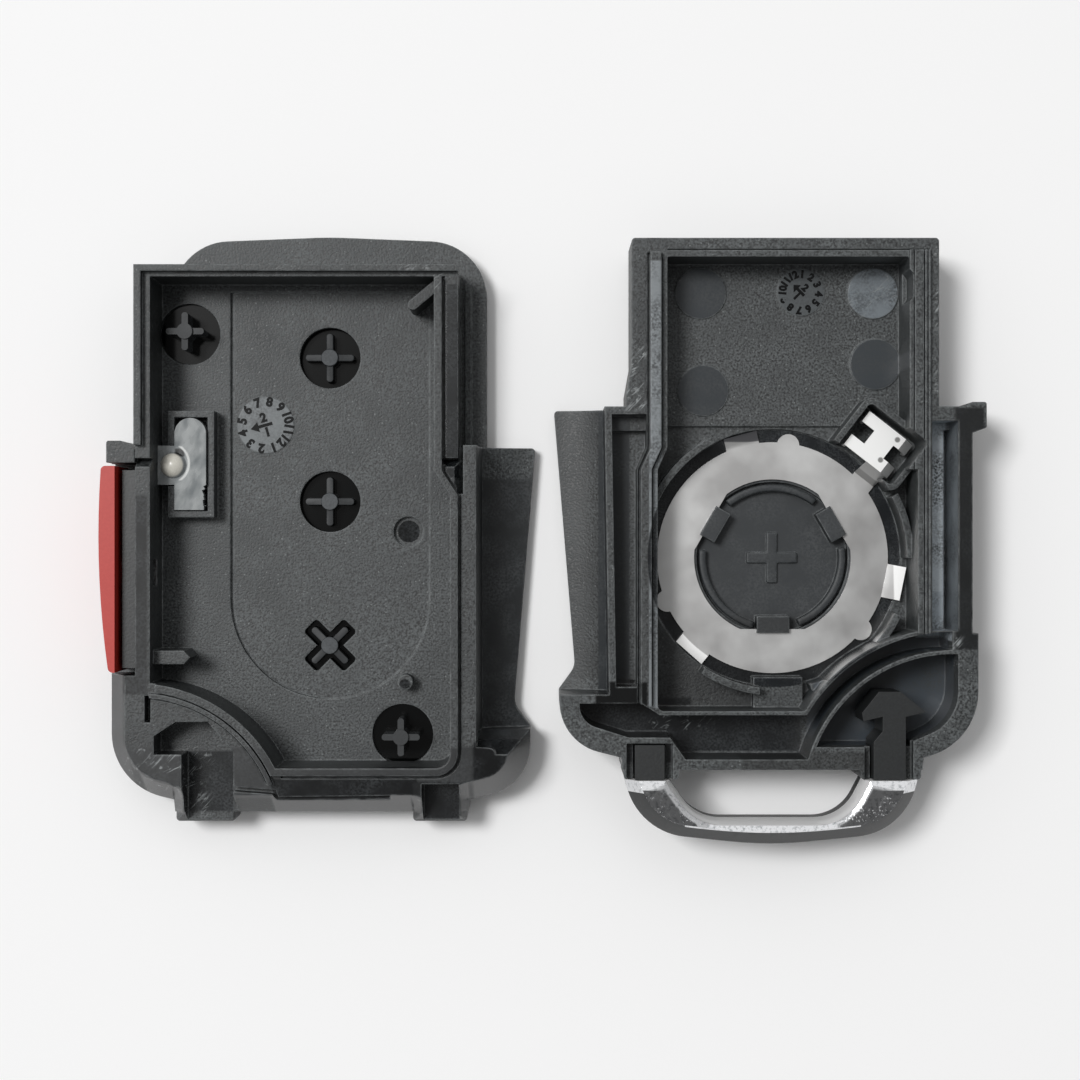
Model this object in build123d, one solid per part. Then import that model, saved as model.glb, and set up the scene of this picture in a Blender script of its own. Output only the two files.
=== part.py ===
from build123d import *
from math import atan2, cos, degrees, hypot, radians, sin, sqrt, tan
import os

# Key fob shell of a folding car key, opened: the front half with its buttons and the rear half with the
# battery contact and the key-ring loop lie side by side on their outer faces, insides up.
# Millimetres, +Z up. Each half is drawn about the axis of its coin cell, X across the case and Y along it.
# The blade side is where the folded key blade lies, the panic side is the other one.
# The front half is the mirror image of the rear one, so a place at +X on one is at -X on the other.

# Case plan, measured from the cell's axis
tongue_top = 24.9            # end of the tongue that slides into the key head
tongue_blade_side = 11.5
tongue_panic_side = 12.4
shoulder_y = 11.8            # where the wider body begins
groove_wall_x = 12.9         # wall beside the folded blade
rear_wall_top_x = 13.6       # the same in the rear half, at the shoulder
rear_wall_low_x = 13.25      # and at its lower end
wing_out_top = 17.5          # wing under the blade, at the shoulder
wing_out_low = 15.8          # and at its lower end
wing_low_y = -10.6
wing_flare = 1.8             # its lower end flares out to the closed body
blade_side_x = 17.1          # closed body below the wings
panic_side_x = 15.45
blade_corner_r = 4.0
panic_corner_r = 5.2
corner_drop = 1.2            # how far the corner's tangent falls towards the loop
chin_y = -15.5               # where the corners run out beside the loop's legs
case_bottom_y = -16.45
fuller = 0.7                 # the front half stands out further on the panic side and at the bottom
socket_out = 0.75            # how far the leg sockets stand below the case
socket_plain = (2.0, 2.3)    # their reach outwards and inwards from the plain leg
socket_barbed = (2.2, 2.5)   # and inwards and outwards from the barbed leg
tongue_flare = 0.4           # the rear tongue widens at its root

# Loop legs and the round wall that closes their chamber
plain_leg_x = 10.1
plain_leg_w = 2.3
barbed_leg_x = 8.5
barbed_leg_w = 2.5
leg_gap = 0.3                # room around the legs in the front half
socket_fit = 0.1             # and in the rear one
socket_step = 0.65           # shallow step beside the legs
socket_step_z = 6.3
chamber_x = 13.5
chamber_y = -18.9
round_wall_r = 11.1          # inner face of the front half's round wall
round_wall = 1.1
round_line = 0.14            # fine groove along its foot
chamber_r = 11.45            # chamber of the rear half, then its thin ribs and the channel between them
thin_rib = 0.3
round_channel = 1.45

# Heights, each half from its own outer face
skin = 0.8                   # soft face over the front half
front_floor = 0.9
front_split = 6.9            # parting face of the front half
rear_floor = 1.3
rear_split = 7.2             # parting face of the rear half
tongue_step = 1.4            # how far the rear tongue lies back under the key head
tongue_floor = 1.3
ridge_rise = 0.7             # ridges above the parting face
groove_depth = 0.35          # grooves beside them
wing_floor = 1.3
wing_root = 2.6
slope_z = 3.6                # above this the front half's lower side leans in
side_lean = 1.7
foot_round = 0.5             # round of the outer edges
foot_h = 1.0                 # height of the rounded foot of the rear half

# Walls and ridges
tall_wall = 1.15             # front walls that close outside the rear ones
end_wall = 0.85              # the same wall at the tongue's end
seam_gap = 0.1
end_gap = 0.05
front_ridge = 0.6
front_groove = 0.25
rear_ledge = 0.5             # low step between the rear bay and its ridge
rear_ridge = 0.85
rear_groove = 0.2
ledge_slit = 0.12
front_bay_x = 9.65           # blade side of the circuit board's bay in the front half
rear_bay_x = 8.72            # the same in the rear half
rear_bay_panic_x = 10.05
rear_bay_top = 23.45
front_jog = (9.8, 7.9, 1.25)   # both bays widen below the tongue: from, to and by how much
rear_jog = (8.55, 6.9, 0.75)
front_bay_bottom = -13.3
rear_bay_bottom = -11.9
bay_corner = 1.2
rear_bay_corner = 0.5
rear_top_corner = 0.12

# Soft face of the front half
pad_x = 1.0                  # centre line of the buttons
pad_half_w = 12.6
pad_top = 28.2
pad_crown = 0.5
pad_corner_r = 4.6
pad_backing = 1.2

# Buttons
button_y = 7.5
button_pitch = 11.55
button_hole_r = 2.45
cap_w = 10.5
cap_h = 7.4
cap_gap = 0.3
cap_inset = 0.12             # caps lie below the face
cap_stop = 0.05              # room left above a pressed cap
cap_corner_r = 2.0
skin_round = 0.2
button_travel = 0.3
plunger_reach = 1.95
plunger_arm = 0.55
plunger_hub_r = 0.68
plunger_top = 2.0
hub_over_arms = 0.2          # hubs stand above the arms
boot_slot_reach = 2.3
boot_slot_w = 1.5
boot_slot_corner_r = 0.3

# Studs of the soft face that show in the corners of the tray
stud_places = [(-10.25, 20.95), (6.85, -11.2)]
stud_hole_r = 2.45
stud_clear = 0.06
stud_neck_r = 1.0
stud_disc_low = 1.05
stud_disc_top = 1.2
stud_top = 4.4
stud_reach = 1.5
stud_arm = 0.5
stud_hub_r = 0.62

# Panic button on the panic side
panic_top_y = 10.15
panic_low_y = -5.85
panic_bulge = 1.25
panic_bow_r = 75.0             # long bow of its outer face
panic_bow_y = 4.8              # crown of the bow
panic_top_round = 0.35
panic_low_round = 0.4
panic_low_z = 2.5
panic_top_z = 8.1
panic_travel = 0.25
panic_stop = 0.1             # room left behind the pressed button
panic_gap = 0.3
carrier_t = 1.0
nub_y = 1.85
nub_w = 1.5
nub_h = 1.0
nub_z = 4.6
grip_y = 3.4
grip_ribs = 9
grip_pitch = 0.95
grip_r = 0.16
grip_sunk = 0.08               # centre of a rib behind the face
grip_inset = 1.2

# Light guide and its frame
guide_x = -9.87
guide_w = 2.5
guide_top_y = 14.1
guide_low_y = 6.8
guide_frame_wall = 0.5
guide_clear = 0.08
guide_z = 3.9
guide_foot_w = 1.4
guide_foot_h = 2.4
window_inset = 0.05
frame_z = 3.5
guide_base = 3.1
guide_base_x = -10.9
guide_base_y = 10.35
dome_r = 1.05
dome_rise = 0.7

# Top face of the front half's closed end, inside the leaning side
plateau = [(-14.05, 8.0), (-14.05, -11.0, 2.0), (-12.3, -13.9, 2.0), (-10.6, -14.8), (-5.9, -14.8),
           (-2.7, -15.05),
           (-2.5, -15.6), (6.2, -15.5), (6.6, -14.5), (10.1, -14.7), (12.8, -14.1, 3.0), (14.4, -12.9, 0.8),
           (14.4, -11.8, 0.5), (12.9, -11.7), (12.9, 8.0)]

foot_line_w = 0.36           # fine groove along the foot of its edge above the loop
foot_line_x = -1.6
foot_line_l = 15.6

# Small features of the front tray
front_dial_r = 2.3
dial_rise = 0.05
front_dial = (-4.2, 13.65)
corner_slot = (-12.92, -12.45, -9.8, -7.7)
peg_hole = (7.3, 5.1)
peg_hole_r = 1.2
pin = (7.15, -6.9)
pin_r = 0.6
pin_top = 3.2
rib_top = 5.6
rib_w = 0.8
corner_rib = [(7.9, 22.9), (10.3, 24.9)]
stop_rib_y = -4.8
stop_rib_w = 1.05
stop_rib_len = 2.9
insert_depth = 0.12          # the mould insert leaves the middle of the floor a little lower
insert_line_w = 0.24         # with a fine groove on its panic side that fades out round the end
insert_line_d = 0.2
insert_half_w = 8.0
insert_x = 1.0
insert_low_y = -8.35

# Coin cell well and its contact
cell_d = 20.0
cell_t = 3.2
cell_clear = 0.3
well_wall = 0.55
well_wall_lower = 0.45       # the walls of the well end below the cell's upper face
well_spans = [(118, 155), (0, 28), (-75, -25), (-123, -97)]
tray_z = 2.3
seat_z = 2.0
hub_floor = 1.3
hub_rim = 0.2
hub_spans = [(53, 129), (174, 254), (-68, 8)]
hook_angles = [30, 150, 270]
hook_in = 1.05               # reach of a hook inwards from the contact's flat
hook_w = 2.6
hook_t = 0.4
hook_gap = 0.08
hook_over = 0.28             # and outwards over it
ring_inset = 0.75            # the contact's ring is this much inside the cell's edge
ring_id = 12.55
ring_flat = 5.72             # distance of the flats at the hooks from the axis
sheet = 0.25
key_arc_r = 5.35
key_arc_w = 0.5
plus_reach = 2.0
plus_w = 0.8
plus_rise = 0.25
spring_tab_w = 2.7
short_tab = (0.15, 1.05)     # how far a tab ends outside the cell's edge, and its rise
long_tab = (0.5, 1.9)
short_tab_angles = [105, 228.5]
long_tab_angle = -11.5
lobe_r = 0.88
seat_clear = 0.15            # room around the ring and its lobes
lobe_angles = [82, 202.3, -39]
clip_x = 8.15
clip_y = 8.95
clip_turn = -38.0
clip_room = 0.45
neck_w = 1.9
neck_aside = 1.0
prong_len = 4.4
prong_drop = 1.3
prong_w = 1.0
prong_pitch = 2.3
clip_z = 4.3
pocket_wall = 0.5
pocket_z = 5.6

# Small features of the rear tray
pad_disc_r = 2.05
pad_disc_rise = 0.12
pad_discs = [(-5.8, 21.1), (-5.6, 13.35), (7.95, 21.1), (8.15, 15.45)]
rear_dial = (2.2, 21.2)
rear_dial_r = 1.9
step_y = 10.5
panic_set_in = 0.45          # the side lies back behind the panic button
panic_channel_z = 3.6
panic_skin = 1.1
panic_channel_in = 0.54      # the channel beside it reaches in under the tongue's side
side_relief = (0.7, -5.9, 6.9)  # the tray's side lies back beside the cell: past its edge, from and to
slit_w = 0.45
ear_out = 0.35
ear_half_w = 1.1
ear_set = 0.65
channel_wall = 0.55
channel_z = 4.4
channel_block_z = 5.4        # a block closes the channel's end at the shoulder
channel_block_l = 1.2
rim_w = 1.55
chamber_floor = 2.0
side_pocket_z = 1.9
pocket_rail = 0.3
thin_rim = 0.8               # rim below the pocket
pocket_corner_r = 1.8
rim_x = 11.7                 # lined rim on the panic side of the rear tongue
rim_lines = [10.35, 11.15, 11.42]
line_w = 0.1
line_d = 0.25
notch = (21.2, 1.25, 0.35)   # small notch in that rim: place, half length and depth
block_x = 0.3
block_w = 3.9
block_gap = 0.25
block_z = 3.4

# Key-ring loop
loop_top_z = 8.0
loop_low_z = 3.5
core_top_z = 5.4
loop_inner_x = 5.7
loop_inner_y = -20.35
loop_outer_y = -22.2
loop_shift = -0.7
loop_slope = 1.1             # outer slope of the trim, across and down
loop_slope_h = 1.7
loop_inner_slope = 0.35      # inner slope below a flatter facet
loop_inner_slope_h = 0.9
loop_facet = 0.55
loop_facet_h = 0.22
loop_end_facet = 0.75        # the same facet where the trim meets the case
barb_y = -10.35
barb_half = 2.45
barb_neck_y = -12.3
barb_tip_half = 0.85
barb_stem = 0.55
leg_z = 3.6
trough_z = 3.9
slot_z = 5.4
bead_rise = 0.45
leg_top_z = 7.6
plain_leg_end_y = -14.5
loop_outer_r = 5.2
loop_inner_r = 3.6
loop_lean = 1.1

# Where the two halves lie
halves_apart = 36.5
halves_stagger = 3.0

# What follows from them
floor_z = skin + front_floor
front_side_x = tongue_panic_side + seam_gap       # inner face of the tall front walls
front_outer_x = front_side_x + tall_wall
panic_back_x = front_outer_x + carrier_t + panic_travel + panic_stop
ring_od = cell_d - 2 * ring_inset
rear_round_r = chamber_r + 2 * thin_rib + round_channel
cap_top = skin - button_travel - cap_stop
loop_mouth_y = case_bottom_y - socket_out - 0.05
button_rows = {"unlock_button": button_y + button_pitch, "lock_button": button_y,
               "boot_button": button_y - button_pitch}


# Outline of straight edges; a corner given as (x, y, r) is rounded to that radius
def outline(*corners):
    count = len(corners)
    twice_area = 0
    for i in range(count):
        twice_area += corners[i - 1][0] * corners[i][1] - corners[i][0] * corners[i - 1][1]
    if twice_area < 0:
        corners = corners[::-1]
    stretches = []
    for i, corner in enumerate(corners):
        before, after = corners[i - 1], corners[(i + 1) % count]
        x, y = corner[0], corner[1]
        radius = corner[2] if len(corner) > 2 else 0
        if radius == 0:
            stretches.append(((x, y),))
            continue
        a = (before[0] - x, before[1] - y)
        b = (after[0] - x, after[1] - y)
        la, lb = hypot(*a), hypot(*b)
        a, b = (a[0] / la, a[1] / la), (b[0] / lb, b[1] / lb)
        half = abs(atan2(a[0] * b[1] - a[1] * b[0], a[0] * b[0] + a[1] * b[1])) / 2
        cut = radius / tan(half)
        mid = (a[0] + b[0], a[1] + b[1])
        lm = hypot(*mid)
        reach = radius / sin(half) - radius
        stretches.append(((x + a[0] * cut, y + a[1] * cut),
                          (x + mid[0] / lm * reach, y + mid[1] / lm * reach),
                          (x + b[0] * cut, y + b[1] * cut)))
    edges = []
    for i, stretch in enumerate(stretches):
        if len(stretch) == 3:
            edges.append(ThreePointArc(*stretch))
        start, end = stretch[-1], stretches[(i + 1) % count][0]
        if hypot(start[0] - end[0], start[1] - end[1]) > 1e-6:
            edges.append(Line(start, end))
    return make_face(Wire(edges))


def slab(face, low, high):
    return Pos(0, 0, low) * extrude(face, high - low, dir=(0, 0, 1))


def brick(x0, x1, y0, y1, z0, z1):
    return Pos((x0 + x1) / 2, (y0 + y1) / 2, (z0 + z1) / 2) * Box(x1 - x0, y1 - y0, z1 - z0)


def post(x, y, radius, low, high):
    return Pos(x, y, (low + high) / 2) * Cylinder(radius, high - low)


# Wall standing on an arc, between two angles in degrees
def arc_wall(x, y, inner, outer, start, end, low, high):
    far = outer * 2
    middle = radians((start + end) / 2)
    wedge = make_face(Polyline((x, y), (x + far * cos(radians(start)), y + far * sin(radians(start))),
                               (x + far * cos(middle), y + far * sin(middle)),
                               (x + far * cos(radians(end)), y + far * sin(radians(end))), (x, y)))
    band = Pos(x, y) * (Circle(outer) - Circle(inner))
    return slab(band & wedge, low, high)


def cross_face(reach, arm, corner_r):
    return RectangleRounded(2 * reach, arm, corner_r) + RectangleRounded(arm, 2 * reach, corner_r)


# Cross-shaped plunger: four arms with round ends about a round hub that stands above them
def cross_plunger(x, y, turn, reach, arm, hub_r, low, high):
    arms = slab(cross_face(reach, arm, arm * 0.45), low, high - hub_over_arms)
    return Pos(x, y, 0) * Rot(0, 0, turn) * (arms + slab(Circle(hub_r), low, high))


# Plan of the closed body below the tongue, for the rear half; the front half mirrors it
def body_plan(sockets=True, out=0.0, top_x=groove_wall_x, low_x=groove_wall_x):
    side_x, corner_y, low_y = panic_side_x + out, chin_y - out, case_bottom_y - out
    plan = outline(
        (-top_x, shoulder_y), (side_x, shoulder_y), (side_x, corner_y + corner_drop, panic_corner_r),
        (barbed_leg_x + socket_barbed[1] + 0.2, corner_y), (barbed_leg_x + socket_barbed[1] + 0.1, low_y),
        (-plain_leg_x - socket_plain[0] - 0.1, low_y), (-plain_leg_x - socket_plain[0] - 0.2, corner_y),
        (-blade_side_x, corner_y + corner_drop, blade_corner_r), (-blade_side_x, wing_low_y),
        (-low_x, wing_low_y))
    if sockets:
        for x0, x1 in ((barbed_leg_x - socket_barbed[0], barbed_leg_x + socket_barbed[1]),
                       (-plain_leg_x - socket_plain[0], -plain_leg_x + socket_plain[1])):
            plan += outline((x0, low_y + 1), (x0, low_y - socket_out, 0.3),
                            (x1, low_y - socket_out, 0.3), (x1, low_y + 1))
    return plan


# Ear where the shoulder meets the panic button
def shoulder_ear(side_x):
    return outline((side_x - ear_half_w, shoulder_y - 0.3), (side_x, shoulder_y + ear_out),
                   (side_x + ear_half_w, shoulder_y + ear_out, 0.2),
                   (side_x + ear_half_w, panic_top_y, 0.2),
                   (side_x, panic_top_y - 0.4), (side_x - ear_half_w, panic_top_y - 0.4))


def wing_plan():
    return outline((-groove_wall_x + 1, shoulder_y), (-wing_out_top, shoulder_y, 0.3),
                   (-wing_out_low, wing_low_y + wing_flare, 1.5), (-blade_side_x, wing_low_y),
                   (-groove_wall_x + 1, wing_low_y))


# Wing under the folded blade: a dished section drawn across the case and trimmed to its plan
def wing(top_z):
    section = Plane.XZ * make_face([
        Line((-groove_wall_x + 1, 0), (-wing_out_top - 1, 0)),
        Line((-wing_out_top - 1, 0), (-wing_out_top - 1, wing_floor)),
        ThreePointArc((-wing_out_top - 1, wing_floor),
                      (-(groove_wall_x + wing_out_top) / 2, wing_floor + 0.35),
                      (-groove_wall_x - 0.35, wing_root)),
        Line((-groove_wall_x - 0.35, wing_root), (-groove_wall_x, top_z)),
        Line((-groove_wall_x, top_z), (-groove_wall_x + 1, top_z)),
        Line((-groove_wall_x + 1, top_z), (-groove_wall_x + 1, 0))])
    length = shoulder_y - wing_low_y
    solid = Pos(0, shoulder_y, 0) * extrude(section, length, dir=(0, -1, 0))
    return solid & slab(wing_plan(), 0, top_z)


# Bay of the circuit board in the rear half; grow widens it to place its ridge and groove
def rear_bay(grow=0.0):
    from_y, to_y, by = rear_jog
    low = -rear_bay_x - by - grow
    plan = outline(
        (-rear_bay_x - grow, rear_bay_top + grow, rear_top_corner),
        (rear_bay_panic_x + grow, rear_bay_top + grow, rear_top_corner),
        (rear_bay_panic_x + grow, rear_bay_bottom - grow),
        (low, rear_bay_bottom - grow, rear_bay_corner + grow), (low, to_y, 0.5),
        (-rear_bay_x - grow, from_y, 0.5))
    return plan - Pos(chamber_x, chamber_y) * Circle(rear_round_r - grow)


# The same bay in the front half, seen from its own side
def front_bay(grow=0.0):
    from_y, to_y, by = front_jog
    low = front_bay_x + by + grow
    plan = outline(
        (-front_side_x, tongue_top + end_gap), (front_bay_x + grow, tongue_top + end_gap),
        (front_bay_x + grow, from_y, 0.5), (low, to_y, 0.5),
        (low, front_bay_bottom - grow, bay_corner + grow),
        (-front_side_x, front_bay_bottom - grow))
    return plan - Pos(-chamber_x, chamber_y) * Circle(round_wall_r + round_wall - grow)


def mirrored(solid):
    return mirror(solid, Plane.YZ)


# Outline of the soft face beyond the tray: straight sides, round corners and a slight crown
def pad_plan():
    return outline(
        (pad_x - pad_half_w, shoulder_y - 1), (pad_x - pad_half_w, pad_top, pad_corner_r),
        (pad_x, pad_top + pad_crown, 30), (pad_x + pad_half_w, pad_top, pad_corner_r),
        (pad_x + pad_half_w, shoulder_y - 1))


def face_round(solid, radius):
    lowest = solid.edges().group_by(Axis.Z)[0]
    return fillet(lowest, radius)


def make_front_shell():
    outer_x = front_outer_x
    outer_y = tongue_top + end_gap + end_wall
    ridge_z = front_split + ridge_rise

    # Outer form: body, tongue tray, backing of the soft face and the wing
    foot = mirror(body_plan(True, fuller), Plane.YZ)
    body = slab(foot, skin, slope_z)
    lean = degrees(atan2(side_lean, front_split - slope_z))
    body += extrude(Pos(0, 0, slope_z) * foot, front_split - slope_z, dir=(0, 0, 1), taper=lean)
    body += slab(outline(*plateau), slope_z - 0.1, front_split)
    body += slab(outline((-outer_x, outer_y, 0.5), (tongue_blade_side, outer_y, 0.5),
                         (tongue_blade_side, shoulder_y - 1), (-outer_x, shoulder_y - 1)), skin, front_split)
    body += slab(pad_plan(), skin, pad_backing + skin)
    body += mirrored(wing(front_split)) & brick(0, 30, -30, 30, skin, front_split)
    body += mirrored(slab(shoulder_ear(panic_side_x - ear_set), skin, front_split))

    # Tray for the circuit board
    body -= slab(front_bay(), floor_z, ridge_z)

    # Ridge that enters the rear half's groove, with a groove outside it and a fine line along the round wall
    reach = brick(-front_side_x, groove_wall_x, front_bay_bottom - 1.3, outer_y, 0, 20)
    centre = Pos(-chamber_x, chamber_y)
    groove = front_bay(front_ridge + front_groove) - front_bay(front_ridge)
    groove -= centre * Circle(round_wall_r + round_wall)
    groove += centre * (Circle(round_wall_r) - Circle(round_wall_r - round_line)) & front_bay(2.0)
    body -= slab(groove, front_split - groove_depth, ridge_z) & reach
    ridge = slab(front_bay(front_ridge) - front_bay(0), floor_z, ridge_z)
    body += ridge & brick(0.5 - front_side_x, groove_wall_x, front_bay_bottom - 1, tongue_top, 0, 20)
    second = centre * (Circle(round_wall_r + round_wall - front_ridge - round_line) - Circle(round_wall_r))
    body += slab(second & front_bay(2.0), front_split - 0.1, ridge_z - 0.1) & reach
    foot_line = offset(outline(*plateau), foot_line_w) - outline(*plateau)
    body -= slab(foot_line & Pos(foot_line_x, -20) * Rectangle(foot_line_l, 12), front_split - 1.0, ridge_z)

    # Lip along the tall walls
    lip = brick(-outer_x, -outer_x + 0.55, shoulder_y, outer_y, front_split - 0.1, ridge_z)
    lip += brick(-outer_x, tongue_blade_side, outer_y - 0.5, outer_y, front_split - 0.1, ridge_z)
    body += lip

    # Open chamber for the barbed leg, and the trough of the plain leg
    barb_out = -barbed_leg_x - barbed_leg_w / 2 - leg_gap
    barb = outline(
        (barb_out - 2.15, barb_neck_y), (barb_out - 2.15, barb_y - 0.5), (barb_out - 0.45, barb_y + 0.6),
        (-barbed_leg_x + 0.5, barb_y + 0.6), (-barbed_leg_x + 2.5, barb_neck_y + 0.2),
        (-barbed_leg_x + 2.5, case_bottom_y - 3), (barb_out, case_bottom_y - 3), (barb_out, barb_neck_y))
    body -= slab(barb, trough_z, ridge_z)
    trough = plain_leg_w / 2 + leg_gap
    body -= brick(plain_leg_x - trough, plain_leg_x + trough, case_bottom_y - 3, chin_y + 0.9,
                  trough_z, ridge_z)

    # Low bead along the foot of the tray's wall on the soft face's backing
    body += brick(tongue_blade_side + 0.4, tongue_blade_side + 0.9, shoulder_y, tongue_top,
                  pad_backing + skin - 0.1, pad_backing + skin + bead_rise)

    # Bay of the panic button
    body -= brick(-panic_side_x - 2, -outer_x, panic_low_y - panic_gap, panic_top_y + panic_gap,
                  panic_low_z - panic_gap, ridge_z)
    nub_half = nub_w / 2 + panic_gap
    body -= brick(-outer_x - 1, -outer_x + tall_wall + 1, nub_y - nub_half, nub_y + nub_half,
                  nub_z - nub_h / 2 - panic_gap, nub_z + nub_h / 2 + panic_gap)

    # Holes for the buttons and for the studs of the soft face
    for name, y in button_rows.items():
        if name == "boot_button":
            cut = cross_face(boot_slot_reach, boot_slot_w, boot_slot_corner_r)
            cut = Pos(pad_x, y) * Rot(0, 0, 45) * cut
            body -= slab(cut, 0, floor_z + 1)
        else:
            body -= post(pad_x, y, button_hole_r, 0, floor_z + 1)
    for x, y in stud_places:
        body -= post(x, y, stud_hole_r, stud_disc_low, floor_z + 0.5)
        body -= post(x, y, stud_neck_r + stud_clear, 0, floor_z)

    # Middle of the floor, left lower by the mould insert
    track = outline((insert_x - insert_half_w, tongue_top - 0.6),
                    (insert_x + insert_half_w, tongue_top - 0.6),
                    (insert_x + insert_half_w, insert_low_y, insert_half_w - 0.001),
                    (insert_x - insert_half_w, insert_low_y, insert_half_w - 0.001))
    inside = track & front_bay(-0.3)
    body -= slab(inside, floor_z - insert_depth, floor_z + 0.5)
    line = inside - Pos(insert_line_w, 0) * track
    body -= slab(line, floor_z - insert_depth - insert_line_d, floor_z)

    # Frame of the light guide, open towards the panic side
    frame_x0 = guide_x - guide_w / 2 - guide_clear - guide_frame_wall
    frame_x1 = guide_x + guide_w / 2 + guide_clear + guide_frame_wall
    frame_y0 = guide_low_y - guide_clear - guide_frame_wall
    frame_y1 = guide_top_y + guide_clear + guide_frame_wall
    frame = brick(frame_x0, frame_x1, frame_y0, frame_y1, floor_z - 0.1, frame_z)
    frame -= brick(frame_x0 + guide_frame_wall, frame_x1 - guide_frame_wall,
                   frame_y0 + guide_frame_wall, frame_y1 - guide_frame_wall, floor_z - 0.2, frame_z + 1)
    frame -= brick(guide_base_x - guide_base / 2 - 2, guide_x, guide_base_y - guide_base / 2 - guide_clear,
                   guide_base_y + guide_base / 2 + guide_clear, floor_z, frame_z + 1)
    body += frame

    # Date dial, peg hole, pin, corner rib and stop rib
    body += post(*front_dial, front_dial_r, floor_z - 0.3, floor_z - insert_depth + dial_rise)
    body -= post(*peg_hole, peg_hole_r, floor_z - 0.6, floor_z + 1)
    body += post(*pin, pin_r, floor_z - 0.1, pin_top)
    (x0, y0), (x1, y1) = corner_rib
    rib_turn = degrees(atan2(y1 - y0, x1 - x0))
    rib_len = hypot(x1 - x0, y1 - y0)
    rib = Pos((x0 + x1) / 2, (y0 + y1) / 2) * Rot(0, 0, rib_turn) * SlotCenterToCenter(rib_len, rib_w)
    body += slab(rib, floor_z - 0.3, rib_top)
    near, far = stop_rib_y - stop_rib_w / 2, stop_rib_y + stop_rib_w / 2
    tip_x = stop_rib_len - front_side_x
    stop = outline((-front_side_x - 0.1, near), (tip_x - 0.5, near), (tip_x, stop_rib_y),
                   (tip_x - 0.5, far), (-front_side_x - 0.1, far))
    body += slab(stop, floor_z - 0.1, rib_top)

    # Narrow slot in the corner by the round wall, and the window of the light guide
    body -= brick(*corner_slot, slot_z, ridge_z)
    body -= guide_window(0, floor_z + 0.1)
    return body


# Hole through the floor and the soft face where the light guide shows
def guide_window(low, high):
    half_w = guide_foot_w / 2 + guide_clear
    half_h = guide_foot_h / 2 + guide_clear
    return brick(guide_x - half_w, guide_x + half_w, guide_base_y - half_h, guide_base_y + half_h, low, high)


# Soft skin over the outer face, with the discs and cross studs that anchor it in the tray
def make_soft_face():
    plan = mirror(body_plan(False, fuller) + wing_plan(), Plane.YZ) + pad_plan()
    face = face_round(slab(plan, 0, skin), skin_round)
    for name, y in button_rows.items():
        opening = RectangleRounded(cap_w + 2 * cap_gap, cap_h + 2 * cap_gap, cap_corner_r + cap_gap)
        face -= slab(Pos(pad_x, y) * opening, 0, skin)
    face -= guide_window(0, skin)
    for x, y in stud_places:
        face += post(x, y, stud_neck_r, skin - 0.1, stud_disc_low)
        face += post(x, y, stud_hole_r - stud_clear, stud_disc_low, stud_disc_top)
        face += cross_plunger(x, y, 0, stud_reach, stud_arm, stud_hub_r, stud_disc_top, stud_top)
    return face


# Key cap of the front face with the cross plunger that reaches the switch
def make_button(y, turn):
    cap = slab(Pos(pad_x, y) * RectangleRounded(cap_w, cap_h, cap_corner_r), cap_inset, cap_top)
    cap = chamfer(cap.edges().group_by(Axis.Z)[0], cap_inset)
    return cap + cross_plunger(pad_x, y, turn, plunger_reach, plunger_arm, plunger_hub_r,
                               cap_top, plunger_top)


# Red side button: a long bowed cap with grip ribs and the nub that reaches through the wall
def make_panic_button():
    bow_x = panic_bow_r - panic_back_x - panic_bulge
    cap = brick(-panic_back_x - 2 * panic_bulge, -panic_back_x, panic_low_y, panic_top_y,
                panic_low_z, panic_top_z)
    cap &= post(bow_x, panic_bow_y, panic_bow_r, panic_low_z - 1, panic_top_z + 1)
    corners = cap.edges().filter_by(Axis.Z).filter_by(lambda edge: edge.center().X < -panic_back_x - 0.1)
    cap = fillet(corners.sort_by(Axis.Y)[-1], panic_top_round)
    corners = cap.edges().filter_by(Axis.Z).filter_by(lambda edge: edge.center().X < -panic_back_x - 0.1)
    cap = fillet(corners.sort_by(Axis.Y)[0], panic_low_round)
    for i in range(grip_ribs):
        y = grip_y + (i - (grip_ribs - 1) / 2) * grip_pitch
        face_x = bow_x - sqrt(panic_bow_r ** 2 - (y - panic_bow_y) ** 2)
        cap += post(face_x + grip_sunk, y, grip_r, panic_low_z + grip_inset, panic_top_z - grip_inset)
    cap += brick(-panic_back_x, -front_side_x - panic_gap, nub_y - nub_w / 2, nub_y + nub_w / 2,
                 nub_z - nub_h / 2, nub_z + nub_h / 2)
    return cap


# Black strip behind the panic button, seated on the tall wall
def make_panic_carrier():
    wall_x = -front_outer_x
    strip = brick(wall_x - carrier_t, wall_x, panic_low_y + panic_gap, panic_top_y - panic_gap,
                  panic_low_z - panic_gap, front_split)
    nub_half = nub_w / 2 + panic_gap
    return strip - brick(wall_x - carrier_t, wall_x, nub_y - nub_half, nub_y + nub_half,
                         nub_z - nub_h / 2 - panic_gap, nub_z + nub_h / 2 + panic_gap)


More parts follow.
